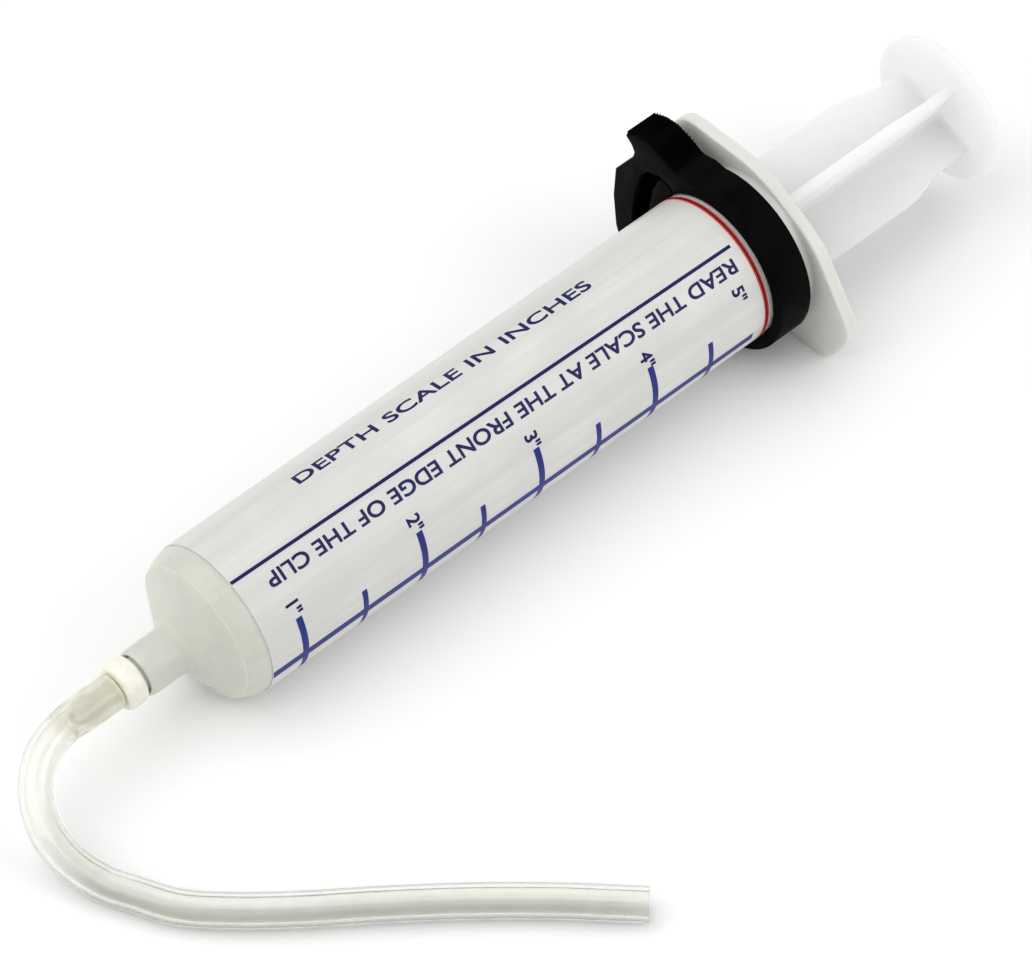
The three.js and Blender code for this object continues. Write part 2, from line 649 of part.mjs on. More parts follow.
// ---------------------------------------------------------------------------------------------------------
// Extension tube
// ---------------------------------------------------------------------------------------------------------

/** The tube runs straight off the barb, bends down to the table and lies along it. */
function extensionTube(syringe) {
  const onAxis = (x) => syringe.localToWorld(new THREE.Vector3(x, 0, 0));
  const flatHeight = TUBE_RADIUS + TUBE_LIFT;
  const route = [
    onAxis(TUBE_STRAIGHT_END_X + TUBE_LEAD),
    onAxis(TUBE_STRAIGHT_END_X),
    ...TUBE_ROUTE.map(([x, y, rise]) => new THREE.Vector3(x, y, flatHeight + rise)),
  ];
  const section = new THREE.Shape(
    arc(TUBE_RADIUS, 0, 360 - 360 / TUBE_SIDES, [0, 0], 360 / TUBE_SIDES).map(
      ([y, z]) => new THREE.Vector2(y, z),
    ),
  );
  const free = new THREE.ExtrudeGeometry(section, {
    steps: TUBE_STEPS,
    extrudePath: new THREE.CatmullRomCurve3(route, false, "centripetal"),
  });
  const stretched = turned([
    [TUBE_START_X, 0],
    [TUBE_START_X, TUBE_STRETCHED_RADIUS],
    [TUBE_STRAIGHT_END_X + TUBE_SHRINK, TUBE_STRETCHED_RADIUS],
    [BARB_END_X - TUBE_GAP, TUBE_SOCKET_RADIUS + TUBE_END_WALL],
    [TUBE_STRAIGHT_END_X, TUBE_RADIUS],
    [TUBE_STRAIGHT_END_X, 0],
  ], 2 * TUBE_SIDES);
  const socket = turned([
    [TUBE_START_X + CUT_PAST, 0],
    [TUBE_START_X + CUT_PAST, TUBE_SOCKET_RADIUS],
    [BARB_END_X - TUBE_GAP, TUBE_SOCKET_RADIUS],
    [BARB_END_X - TUBE_GAP, 0],
  ], 2 * TUBE_SIDES);
  const placed = (solid) => solidOf(geometryOf(solid).applyMatrix4(syringe.matrixWorld));
  const solid = solidOf(free).add(placed(stretched)).subtract(placed(socket));
  return piece("extension_tube", solid, 0xdfe2cf, 0.2);
}

// ---------------------------------------------------------------------------------------------------------
// The whole object
// ---------------------------------------------------------------------------------------------------------

function build() {
  const syringe = new THREE.Group();
  syringe.add(barrel(), scaleLabel(), stopper(), plungerRod(), upperJaw(), lowerJaw(), tubeConnector());
  syringe.quaternion.copy(restingTurn());
  syringe.updateMatrixWorld(true);
  syringe.position.z = -new THREE.Box3().setFromObject(syringe, true).min.z;
  syringe.updateMatrixWorld(true);

  const tube = extensionTube(syringe);
  const box = new THREE.Box3().setFromObject(syringe, true);
  const centre = box.getCenter(new THREE.Vector3());
  const object = new THREE.Group();
  object.add(syringe, tube);
  object.position.set(-centre.x, -centre.y, 0);
  object.updateMatrixWorld(true);
  return object;
}

const object = build();

export default object;
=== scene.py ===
import json
import math
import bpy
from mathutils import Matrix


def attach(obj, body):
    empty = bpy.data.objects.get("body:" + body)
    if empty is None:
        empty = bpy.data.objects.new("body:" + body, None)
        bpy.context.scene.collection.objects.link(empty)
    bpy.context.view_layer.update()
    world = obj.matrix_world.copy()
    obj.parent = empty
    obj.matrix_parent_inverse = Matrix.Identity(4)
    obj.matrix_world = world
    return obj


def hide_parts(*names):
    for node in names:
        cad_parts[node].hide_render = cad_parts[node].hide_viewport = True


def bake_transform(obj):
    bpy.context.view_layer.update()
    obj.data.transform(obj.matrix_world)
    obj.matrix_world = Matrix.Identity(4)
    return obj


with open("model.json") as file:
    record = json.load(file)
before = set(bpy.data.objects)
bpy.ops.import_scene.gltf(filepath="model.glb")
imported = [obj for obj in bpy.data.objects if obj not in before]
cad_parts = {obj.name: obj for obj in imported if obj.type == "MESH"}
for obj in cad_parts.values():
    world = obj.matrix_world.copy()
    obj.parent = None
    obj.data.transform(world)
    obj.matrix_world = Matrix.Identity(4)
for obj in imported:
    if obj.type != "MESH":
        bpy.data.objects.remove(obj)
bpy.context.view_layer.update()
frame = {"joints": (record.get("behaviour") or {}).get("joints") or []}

from types import SimpleNamespace

import bmesh
import bpy
from bpy.props import FloatProperty, FloatVectorProperty, IntProperty, PointerProperty, StringProperty
from bpy.types import Operator, Panel, PropertyGroup
from mathutils import Matrix, Vector

bl_info = {
    "name": "Graduated syringe",
    "version": (1, 0, 0),
    "blender": (4, 5, 0),
    "location": "View3D > Sidebar > Syringe",
    "description": "Builds a graduated syringe with a snap clamp and an extension tube round its frame",
    "category": "Object",
}

# Shapes are made in millimetres in the syringe's own frame. X runs along its axis from the tip of the nozzle
# at 0 towards the plunger, and an angle "round" the axis is in degrees from Z towards Y. PLACE takes them to
# the frame that the syringe lies in, in metres.

MM = 0.001
INCH = 25.4


def joint(name):
    return next(entry for entry in frame["joints"] if entry["name"] == name)


def length(millimetres, name, description):
    return FloatProperty(
        name=name, description=description, default=millimetres * MM, unit="LENGTH", precision=5
    )


def angle(degrees, name, description):
    return FloatProperty(name=name, description=description, default=math.radians(degrees), subtype="ANGLE")


def colour(red, green, blue, name, description):
    return FloatVectorProperty(
        name=name, description=description, default=(red, green, blue), subtype="COLOR", min=0, max=1
    )


def in_millimetres(group):
    """The sizes of a property group, with lengths in millimetres and angles in degrees."""
    found = {}
    for prop in group.bl_rna.properties:
        if prop.identifier in ("name", "rna_type"):
            continue
        value = getattr(group, prop.identifier)
        if prop.unit == "LENGTH":
            value = value / MM
        elif prop.subtype == "ANGLE":
            value = math.degrees(value)
        found[prop.identifier] = value
    return SimpleNamespace(**found)


# ------------------------------------------------------------------------------------------------------------
# Sizes and colours
# ------------------------------------------------------------------------------------------------------------


class BarrelSizes(PropertyGroup):
    radius: length(13.8, "Radius", "Outside radius of the barrel")
    wall: length(1.1, "Wall", "Thickness of the barrel's wall")
    shoulder: length(14.3, "Shoulder", "Distance from the tip to the edge where the cone meets the cylinder")
    shoulder_drop: length(1.4, "Shoulder drop", "How much narrower that edge is than the cylinder")
    shoulder_length: length(3.9, "Shoulder length", "Length over which the shoulder swells to the cylinder")
    flange: length(137.8, "Flange", "Distance from the tip to the finger flange")
    flange_thickness: length(2.4, "Flange thickness", "Thickness of the finger flange")
    flange_half_length: length(24.0, "Flange half length", "Half of the flange's longer side")
    flange_half_width: length(14.4, "Flange half width", "Half of the flange's shorter side")
    flange_round: angle(60, "Flange angle", "Angle of the flange's longer side round the axis")
    nozzle_radius: length(1.95, "Nozzle radius", "Radius of the nozzle at its tip")
    bore_radius: length(1.2, "Bore", "Radius of the hole in the nozzle")
    collar_start: length(2.0, "Collar start", "Distance from the tip to the mouth of the threaded collar")
    collar_end: length(9.0, "Collar end", "Distance from the tip to the place where the collar meets the cone")
    collar_floor: length(8.2, "Collar floor", "Distance from the tip to the bottom of the collar's pocket")
    collar_radius: length(4.3, "Collar radius", "Outside radius of the threaded collar")
    collar_wall: length(0.65, "Collar wall", "Thickness of the collar's wall")
    thread_lead: length(5.0, "Thread lead", "How far the connector moves in one turn")
    colour: colour(0.60, 0.61, 0.54, "Colour", "Natural polypropylene")


class LabelSizes(PropertyGroup):
    start: length(18.5, "Start", "Distance from the tip to the label's first edge")
    end: length(127.9, "End", "Distance from the tip to the label's last edge")
    film: length(0.12, "Film", "Thickness of the film")
    overlap_round: angle(165, "Overlap", "Angle of the seam where the film laps over itself")
    line_width: length(0.6, "Line width", "Width of the printed lines")
    scale_line_width: length(1.7, "Scale line width", "Width of the line that the ticks stand on")
    tick_width: length(1.25, "Tick width", "Width of the ticks at whole inches")
    half_tick_width: length(1.05, "Half tick width", "Width of the ticks at half inches")
    ink: length(0.02, "Ink", "How far the ink stands out from the film")
    heading: StringProperty(
        name="Heading", description="Words beside the scale", default="DEPTH SCALE IN INCHES"
    )
    note: StringProperty(
        name="Note", description="Words under the line", default="READ THE SCALE AT THE FRONT EDGE OF THE CLIP"
    )
    film_colour: colour(0.655, 0.65, 0.63, "Film colour", "White translucent film")
    ink_colour: colour(0.002, 0.004, 0.075, "Ink colour", "Navy blue ink of the words and lines")
    tick_colour: colour(0.009, 0.018, 0.18, "Tick colour", "Blue ink of the ticks")
    limit_colour: colour(0.62, 0.045, 0.035, "Limit colour", "Red ink of the limit ring")


class PlungerSizes(PropertyGroup):
    stopper_front: length(52.5, "Stopper front", "Distance from the tip to the front of the stopper")
    stopper_length: length(11.5, "Stopper length", "Length of the rubber stopper")
    rib_reach: length(11.0, "Rib reach", "How far the rod's ribs reach from the axis")
    rib_thickness: length(1.8, "Rib thickness", "Thickness of the rod's ribs")
    rib_round: angle(-25, "Rib angle", "Angle of the first rib round the axis")
    end_reach: length(9.1, "End reach", "How far the ribs reach where they meet the disc")
    taper: length(10.5, "Taper", "Length over which the ribs curve in towards the disc")
    taper_margin: length(5.5, "Taper margin", "Distance from the end of the taper to the disc")
    disc: length(181.2, "Disc", "Distance from the tip to the thumb disc")
    disc_radius: length(14.1, "Disc radius", "Radius of the thumb disc")
    disc_thickness: length(2.2, "Disc thickness", "Thickness of the thumb disc")
    rod_colour: colour(0.76, 0.775, 0.765, "Rod colour", "Milky plastic")
    stopper_colour: colour(0.018, 0.018, 0.019, "Stopper colour", "Black rubber")


class ClampSizes(PropertyGroup):
    start: length(128.3, "Start", "Distance from the tip to the side of the clamp that faces it")
    width: length(6.9, "Width", "Width of the clamp along the barrel")
    inner_radius: length(14.15, "Inner radius", "Inside radius of the band")
    outer_radius: length(16.3, "Outer radius", "Outside radius of the band")
    hinge_round: angle(-104.5, "Hinge angle", "Angle of the place where the band flexes")
    tongue_reach: length(32.8, "Tongue reach", "Reach of the tongue's outer side from the hinge point")
    teeth_reach: length(35.9, "Teeth reach", "Reach of the finger's inner side from the hinge point")
    finger: length(4.8, "Finger", "Thickness of the latch finger")
    tooth_depth: length(0.6, "Tooth depth", "Depth of the ratchet teeth")
    upper_tab_radius: length(26.9, "Upper tab radius", "How far the upper thumb tab reaches from the axis")
    lower_tab_radius: length(19.5, "Lower tab radius", "How far the lower thumb tab reaches from the axis")
    flexing: angle(13, "Flexing part", "Share of the band to each side of the hinge that bends")
    colour: colour(0.0016, 0.0017, 0.0018, "Colour", "Black nylon")


class ConnectorSizes(PropertyGroup):
    ring_start: length(1.4, "Ring start", "Distance from the tip to the grip ring's side that faces the collar")
    ring_length: length(3.7, "Ring length", "Length of the grip ring")
    ring_radius: length(4.3, "Ring radius", "Radius of the grip ring")
    hub_end: length(7.4, "Hub end", "How far the hub reaches into the collar")
    hub_radius: length(3.0, "Hub radius", "Outside radius of the hub")
    lug_radius: length(3.5, "Lug radius", "How far the two lugs reach from the axis")
    barb_length: length(8.4, "Barb length", "Length of the hose barb")
    barb_radius: length(2.3, "Barb radius", "Radius of the barb at its widest")
    colour: colour(0.84, 0.82, 0.725, "Colour", "Cream nylon")


class TubeSizes(PropertyGroup):
    radius: length(2.9, "Radius", "Outside radius of the tube")
    bore: length(1.95, "Bore", "Radius of the tube's bore")
    stretched: length(3.2, "Stretched radius", "Radius of the tube's mouth over the barb")
    gap: length(0.3, "Gap", "Gap between the grip ring and the tube's mouth")
    straight: length(9.4, "Straight part", "Length that the barb holds straight")
    lift: length(0.1, "Lift", "Gap between the tube and the table")
    colour: colour(0.975, 0.975, 0.935, "Colour", "Clear vinyl, slightly yellow")


class StageSizes(PropertyGroup):
    half_floor: length(1500, "Half floor", "Half of the floor's side")
    distance: length(799.7, "Distance", "Distance from the camera to its target")
    azimuth: angle(-41.53, "Azimuth", "Direction of the camera round the syringe")
    elevation: angle(48.57, "Elevation", "Height of the camera above the floor, as an angle")
    roll: angle(-1.14, "Roll", "Turn of the camera about its own line of sight")
    lens: FloatProperty(name="Lens", description="Focal length in millimetres on a 36 mm frame", default=174.42)
    floor_colour: colour(0.93, 0.93, 0.93, "Floor colour", "Pale matt floor")


GROUPS = {
    "syringe_stage": StageSizes,
    "syringe_barrel": BarrelSizes,
    "syringe_label": LabelSizes,
    "syringe_plunger": PlungerSizes,
    "syringe_clamp": ClampSizes,
    "syringe_connector": ConnectorSizes,
    "syringe_tube": TubeSizes,
}


def sizes(context, name):
    return in_millimetres(getattr(context.scene, "syringe_" + name))


# ------------------------------------------------------------------------------------------------------------
# Points and outlines
# ------------------------------------------------------------------------------------------------------------


def polar(radius, around, centre=(0, 0)):
    """The (y, z) of a point at a radius and an angle round the axis, or round another centre."""
    turn = math.radians(around)
    return (centre[0] + radius * math.sin(turn), centre[1] + radius * math.cos(turn))


def arc(radius, start, end, centre=(0, 0), step=2.5):
    count = max(1, round(abs(end - start) / step))
    return [polar(radius, start + (end - start) * i / count, centre) for i in range(count + 1)]


def filleted(corners, closed=True, steps=5):
    """An outline with rounded corners. Each corner is (a, b) or (a, b, fillet radius)."""
    points = []
    count = len(corners)
    for i, corner in enumerate(corners):
        here = Vector(corner[:2])
        radius = corner[2] if len(corner) > 2 else 0
        at_end = not closed and i in (0, count - 1)
        if radius <= 0 or at_end:
            points.append(here)
            continue
        before = Vector(corners[i - 1][:2]) - here
        after = Vector(corners[(i + 1) % count][:2]) - here
        half = before.angle(after) / 2
        reach = min(radius / math.tan(half), 0.48 * before.length, 0.48 * after.length)
        real = reach * math.tan(half)
        middle = here + (before.normalized() + after.normalized()).normalized() * real / math.sin(half)
        start = here + before.normalized() * reach - middle
        end = here + after.normalized() * reach - middle
        sweep = math.atan2(start.cross(end), start.dot(end))
        for step in range(steps + 1):
            points.append(middle + Matrix.Rotation(sweep * step / steps, 2) @ start)
    return [tuple(point) for point in points]


def smooth_curve(points, spacing):
    """Points at an even spacing along a centripetal Catmull-Rom curve through the given points."""
    padded = [points[0] * 2 - points[1], *points, points[-1] * 2 - points[-2]]
    fine = []
    for a, b, c, d in zip(padded, padded[1:], padded[2:], padded[3:]):
        knots = [0.0]
        for first, second in ((a, b), (b, c), (c, d)):
            knots.append(knots[-1] + math.sqrt((second - first).length))
        for step in range(24):
            t = knots[1] + (knots[2] - knots[1]) * step / 24
            fine.append(barycentric((a, b, c, d), knots, t))
    fine.append(points[-1])
    total = sum((q - p).length for p, q in zip(fine, fine[1:]))
    count = round(total / spacing)
    even, walked, wanted = [fine[0]], 0.0, total / count
    for p, q in zip(fine, fine[1:]):
        step = (q - p).length
        while walked + step >= wanted * len(even) - 1e-9 and len(even) < count:
            even.append(p.lerp(q, (wanted * len(even) - walked) / step))
        walked += step
    return [*even, fine[-1]]


def barycentric(controls, knots, t):
    """One point of a Catmull-Rom curve, by repeated mixing between its knots."""
    points = controls
    for spans in (((0, 1), (1, 2), (2, 3)), ((0, 2), (1, 3)), ((1, 2),)):
        points = [
            first.lerp(second, (t - knots[low]) / (knots[high] - knots[low]))
            for first, second, (low, high) in zip(points, points[1:], spans)
        ]
    return points[0]


# ------------------------------------------------------------------------------------------------------------
# Solids
# ------------------------------------------------------------------------------------------------------------


def loft(rings, joined=False):
    """A skin of quads over rings of points. A ring of one point closes the shape there."""
    shape = bmesh.new()
    rows = [[shape.verts.new(point) for point in ring] for ring in rings]
    pairs = list(zip(rows, rows[1:]))
    if joined:
        pairs.append((rows[-1], rows[0]))
    for first, second in pairs:
        count = max(len(first), len(second))
        for i in range(count):
            j = (i + 1) % count
            corners = [ring[k % len(ring)] for ring, k in ((first, i), (first, j), (second, j), (second, i))]
            shape.faces.new(dict.fromkeys(corners))
    bmesh.ops.recalc_face_normals(shape, faces=shape.faces)
    return shape


def capped(shape):
    """The same shape with its open ends closed by flat faces."""
    edges = [edge for edge in shape.edges if edge.is_boundary]
    bmesh.ops.holes_fill(shape, edges=edges, sides=0)
    bmesh.ops.recalc_face_normals(shape, faces=shape.faces)
    return shape


def turned(outline, sides=128, joined=False):
    """A solid of revolution round the axis. The outline is a list of (x, radius)."""
    rings = []
    for x, radius in outline:
        if radius < 1e-6:
            rings.append([(x, 0, 0)])
        else:
            rings.append([(x, *polar(radius, 360 * i / sides)) for i in range(sides)])
    return loft(rings, joined)


def plate(outline, start, thickness, edge=0.25, steps=2):
    """A flat plate across the axis with rounded edges. The outline is a list of (y, z)."""
    shape = bmesh.new()
    face = shape.faces.new([shape.verts.new((start, y, z)) for y, z in outline])
    made = bmesh.ops.extrude_face_region(shape, geom=[face])
    moved = [item for item in made["geom"] if isinstance(item, bmesh.types.BMVert)]
    bmesh.ops.translate(shape, verts=moved, vec=(thickness, 0, 0))
    bmesh.ops.recalc_face_normals(shape, faces=shape.faces)
    rims = [e for e in shape.edges if abs(e.verts[0].co.x - e.verts[1].co.x) < 1e-6]
    bmesh.ops.bevel(
        shape, geom=rims, offset=edge, segments=steps, profile=0.5, affect="EDGES", clamp_overlap=True
    )
    bmesh.ops.recalc_face_normals(shape, faces=shape.faces)
    return shape


def mesh_of(shape, name):
    mesh = bpy.data.meshes.new(name)
    shape.to_mesh(mesh)
    shape.free()
    return mesh


def plain_mesh(item):
    """The object's mesh with its modifiers applied. The object goes."""
    bpy.context.view_layer.update()
    evaluated = item.evaluated_get(bpy.context.evaluated_depsgraph_get())
    mesh = bpy.data.meshes.new_from_object(evaluated)
    old = item.data
    bpy.data.objects.remove(item)
    if old.users == 0:
        (bpy.data.curves if isinstance(old, bpy.types.Curve) else bpy.data.meshes).remove(old)
    return mesh


def linked(name, data):
    item = bpy.data.objects.new(name, data)
    bpy.context.scene.collection.objects.link(item)
    return item


def united(shapes, name):
    """One body made of several that overlap."""
    items = [linked(name + "_part", mesh_of(shape, name)) for shape in shapes]
    first = items[0]
    for other in items[1:]:
        modifier = first.modifiers.new("Union", "BOOLEAN")
        modifier.operation = "UNION"
        modifier.solver = "EXACT"
        modifier.object = other
    mesh = plain_mesh(first)
    for other in items[1:]:
        data = other.data
        bpy.data.objects.remove(other)
        bpy.data.meshes.remove(data)
    if not mesh.polygons:
        raise RuntimeError(name + " came out empty")
    return mesh


def syringe_place():
    """Takes the syringe's own frame, in millimetres, to the frame that it lies in, in metres."""
    clamp = ClampSizes.__annotations__
    start, reach, around = (clamp[key].keywords["default"] for key in ("start", "outer_radius", "hinge_round"))
    along = Vector(joint("plunger_slide")["axis"]).normalized()
    level = Vector((0, 0, 1)).cross(along).normalized()
    turn = Matrix((along, level, along.cross(level))).transposed() @ Matrix.Rotation(LYING_ROLL, 3, "X")
    hinge = Vector((start, reach * math.sin(around), reach * math.cos(around)))
    tip = Vector(joint("clamp_opening")["pos_m"]) - turn @ hinge
    return Matrix.LocRotScale(tip, turn.to_quaternion(), Vector((MM, MM, MM)))


LYING_ROLL = math.radians(-0.1758)
PLACE = syringe_place()


def piece(name, mesh, material, body, replaced=(), crisp=35, place=True):
    """A finished piece that rides on a body. Edges sharper than crisp degrees stay crisp."""
    if isinstance(mesh, bmesh.types.BMesh):
        mesh = mesh_of(mesh, name)
    mesh.name = name
    if place:
        mesh.transform(PLACE)
    mesh.shade_smooth()
    mesh.set_sharp_from_angle(angle=math.radians(crisp))
    mesh.materials.clear()
    mesh.materials.append(material)
    mesh.update()
    item = linked(name, mesh)
    if body:
        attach(item, body)
    if replaced:
        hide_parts(*replaced)
    return item


# ------------------------------------------------------------------------------------------------------------
# Repeats, made with Geometry Nodes
# ------------------------------------------------------------------------------------------------------------


def new_tree(name, inputs):
    """A Geometry Nodes tree with its inputs by name."""
    tree = bpy.data.node_groups.new(name, "GeometryNodeTree")
    tree.is_modifier = True
    tree.interface.new_socket("Geometry", in_out="INPUT", socket_type="NodeSocketGeometry")
    for title, kind, default in inputs:
        socket = tree.interface.new_socket(title, in_out="INPUT", socket_type=kind)
        if default is not None:
            socket.default_value = default
    tree.interface.new_socket("Geometry", in_out="OUTPUT", socket_type="NodeSocketGeometry")
    return tree, tree.nodes.new("NodeGroupInput"), tree.nodes.new("NodeGroupOutput")


def finish_tree(tree, source, made, output):
    """Ends a tree in Realize Instances and Set Material."""
    realize = tree.nodes.new("GeometryNodeRealizeInstances")
    paint = tree.nodes.new("GeometryNodeSetMaterial")
    tree.links.new(made, realize.inputs["Geometry"])
    tree.links.new(realize.outputs["Geometry"], paint.inputs["Geometry"])
    tree.links.new(source.outputs["Material"], paint.inputs["Material"])
    tree.links.new(paint.outputs["Geometry"], output.inputs["Geometry"])


def repeat_tree():
    """Copies a shape: each copy is shifted along X and turned round X from the one before."""
    tree, source, output = new_tree(
        "Repeat along and round the axis",
        [
            ("Count", "NodeSocketInt", 4),
            ("Shift", "NodeSocketFloat", 0.0),
            ("Turn", "NodeSocketFloat", 0.0),
            ("Material", "NodeSocketMaterial", None),
        ],
    )
    nodes, links = tree.nodes, tree.links
    shift = nodes.new("ShaderNodeCombineXYZ")
    line = nodes.new("GeometryNodeMeshLine")
    index = nodes.new("GeometryNodeInputIndex")
    product = nodes.new("ShaderNodeMath")
    product.operation = "MULTIPLY"
    turn = nodes.new("ShaderNodeCombineXYZ")
    rotation = nodes.new("FunctionNodeEulerToRotation")
    copies = nodes.new("GeometryNodeInstanceOnPoints")
    links.new(source.outputs["Shift"], shift.inputs["X"])
    links.new(source.outputs["Count"], line.inputs["Count"])
    links.new(shift.outputs["Vector"], line.inputs["Offset"])
    links.new(index.outputs["Index"], product.inputs[0])
    links.new(source.outputs["Turn"], product.inputs[1])
    links.new(product.outputs["Value"], turn.inputs["X"])
    links.new(turn.outputs["Vector"], rotation.inputs["Euler"])
    links.new(line.outputs["Mesh"], copies.inputs["Points"])
    links.new(source.outputs["Geometry"], copies.inputs["Instance"])
    links.new(rotation.outputs["Rotation"], copies.inputs["Rotation"])
    finish_tree(tree, source, copies.outputs["Instances"], output)
    return tree


def thread_tree():
    """A round ridge along a helix round Z, as a screw thread has."""
    tree, source, output = new_tree(
        "Helical ridge",
        [
            ("Radius", "NodeSocketFloat", 3.7),
            ("Ridge", "NodeSocketFloat", 0.4),
            ("Turns", "NodeSocketFloat", 1.0),
            ("Height", "NodeSocketFloat", 5.0),
            ("Material", "NodeSocketMaterial", None),
        ],
    )
    nodes, links = tree.nodes, tree.links
    helix = nodes.new("GeometryNodeCurveSpiral")
    helix.inputs["Resolution"].default_value = 64
    section = nodes.new("GeometryNodeCurvePrimitiveCircle")
    section.inputs["Resolution"].default_value = 10
    sweep = nodes.new("GeometryNodeCurveToMesh")
    sweep.inputs["Fill Caps"].default_value = True
    links.new(source.outputs["Turns"], helix.inputs["Rotations"])
    links.new(source.outputs["Radius"], helix.inputs["Start Radius"])
    links.new(source.outputs["Radius"], helix.inputs["End Radius"])
    links.new(source.outputs["Height"], helix.inputs["Height"])
    links.new(source.outputs["Ridge"], section.inputs["Radius"])
    links.new(helix.outputs["Curve"], sweep.inputs["Curve"])
    links.new(section.outputs["Curve"], sweep.inputs["Profile Curve"])
    finish_tree(tree, source, sweep.outputs["Mesh"], output)
    return tree


def run_tree(tree, shape, settings):
    """The plain mesh that a tree makes of a shape, with its inputs set by their identifiers."""
    item = linked("to_repeat", mesh_of(shape, "to_repeat"))
    modifier = item.modifiers.new("Nodes", "NODES")
    modifier.node_group = tree
    for socket in tree.interface.items_tree:
        if socket.in_out == "INPUT" and socket.name in settings:
            modifier[socket.identifier] = settings[socket.name]
    return plain_mesh(item)


def about(shape, centre, direction=1):
    """The shape moved so that a (y, z) centre lies on the axis, or back again with a direction of -1."""
    shift = Matrix.Translation((0, -direction * centre[0], -direction * centre[1]))
    if isinstance(shape, bmesh.types.BMesh):
        bmesh.ops.transform(shape, matrix=shift, verts=shape.verts)
    else:
        shape.transform(shift)
    return shape


# ------------------------------------------------------------------------------------------------------------
# Materials
# ------------------------------------------------------------------------------------------------------------


def new_material(name, **sockets):
    """A material whose even values sit on the shader's own sockets."""
    material = bpy.data.materials.new(name)
    material.use_nodes = True
    shader = material.node_tree.nodes["Principled BSDF"]
    for title, value in sockets.items():
        shader.inputs[title.replace("_", " ").title().replace("Ior", "IOR")].default_value = value
    return material, shader


def along_syringe(material, stretch=(1, 1, 1)):
    """Object coordinates turned to the syringe's axis, in millimetres, and stretched along it."""
    tree = material.node_tree
    coordinates = tree.nodes.new("ShaderNodeTexCoord")
    mapping = tree.nodes.new("ShaderNodeMapping")
    inverse = PLACE.inverted()
    mapping.inputs["Location"].default_value = [a * b for a, b in zip(inverse.to_translation(), stretch)]
    mapping.inputs["Rotation"].default_value = inverse.to_euler()
    mapping.inputs["Scale"].default_value = [value / MM for value in stretch]
    mapping.vector_type = "POINT"
    tree.links.new(coordinates.outputs["Object"], mapping.inputs["Vector"])
    return mapping.outputs["Vector"]


def noise(material, vector, scale, detail=3.0, roughness=0.55):
    node = material.node_tree.nodes.new("ShaderNodeTexNoise")
    node.inputs["Scale"].default_value = scale
    node.inputs["Detail"].default_value = detail
    node.inputs["Roughness"].default_value = roughness
    material.node_tree.links.new(vector, node.inputs["Vector"])
    return node.outputs["Fac"]


def spread(material, value, low, high, start=0.35, end=0.65):
    """A value brought from start..end to low..high."""
    node = material.node_tree.nodes.new("ShaderNodeMapRange")
    for title, number in (("From Min", start), ("From Max", end), ("To Min", low), ("To Max", high)):
        node.inputs[title].default_value = number
    material.node_tree.links.new(value, node.inputs["Value"])
    return node.outputs["Result"]


def mixed(material, factor, first, second):
    """A colour between two colours, or between two colour outputs."""
    node = material.node_tree.nodes.new("ShaderNodeMix")
    node.data_type = "RGBA"
    links = material.node_tree.links
    links.new(factor, node.inputs["Factor"])
    for socket, value in ((node.inputs[6], first), (node.inputs[7], second)):
        if isinstance(value, bpy.types.NodeSocket):
            links.new(value, socket)
        else:
            socket.default_value = (*value, 1)
    return node.outputs[2]


def bumped(material, shader, *layers):
    """Bump from several layers of (height, strength, distance in millimetres)."""
    previous = None
    for height, strength, distance in layers:
        node = material.node_tree.nodes.new("ShaderNodeBump")
        node.inputs["Strength"].default_value = strength
        node.inputs["Distance"].default_value = distance * MM
        material.node_tree.links.new(height, node.inputs["Height"])
        if previous:
            material.node_tree.links.new(previous, node.inputs["Normal"])
        previous = node.outputs["Normal"]
    material.node_tree.links.new(previous, shader.inputs["Normal"])


def painted(material, shader, colour_output, roughness_output):
    material.node_tree.links.new(colour_output, shader.inputs["Base Color"])
    material.node_tree.links.new(roughness_output, shader.inputs["Roughness"])


def tinted(base, factor):
    return tuple(min(1, channel * factor) for channel in base)


def natural_polypropylene(base):
    """Milky moulded plastic that light passes through, with faint flow marks, and painted shade and light along
    it: darker at the front, lighter towards the flange.
    """
    material, shader = new_material(
        "natural polypropylene",
        roughness=0.32,
        ior=1.49,
        subsurface_weight=0.6,
        subsurface_scale=0.002,
        subsurface_radius=(1.0, 1.0, 0.9),
    )
    vector = along_syringe(material)
    clouds = noise(material, vector, 0.16, 4)
    flow = noise(material, along_syringe(material, (0.25, 1, 1)), 0.55, 3)
    dark = mixed(material, spread(material, clouds, 0, 1), tinted(base, 0.95), tinted(base, 1.04))
    even = mixed(material, spread(material, flow, 0, 0.35), dark, tinted(base, 0.92))
    along = material.node_tree.nodes.new("ShaderNodeSeparateXYZ")
    material.node_tree.links.new(vector, along.inputs["Vector"])
    # Painted light: the colour goes from the darker front of the barrel to a lighter tone at the flange, where
    # the flange is thin and lit at its edge.
    painted_light_to_flange = spread(material, along.outputs["X"], 0, 1, 20, 130)
    even = mixed(material, painted_light_to_flange, even, (0.69, 0.68, 0.65))
    painted(material, shader, even, spread(material, clouds, 0.27, 0.4))
    bumped(material, shader, (clouds, 0.25, 0.08))
    return material


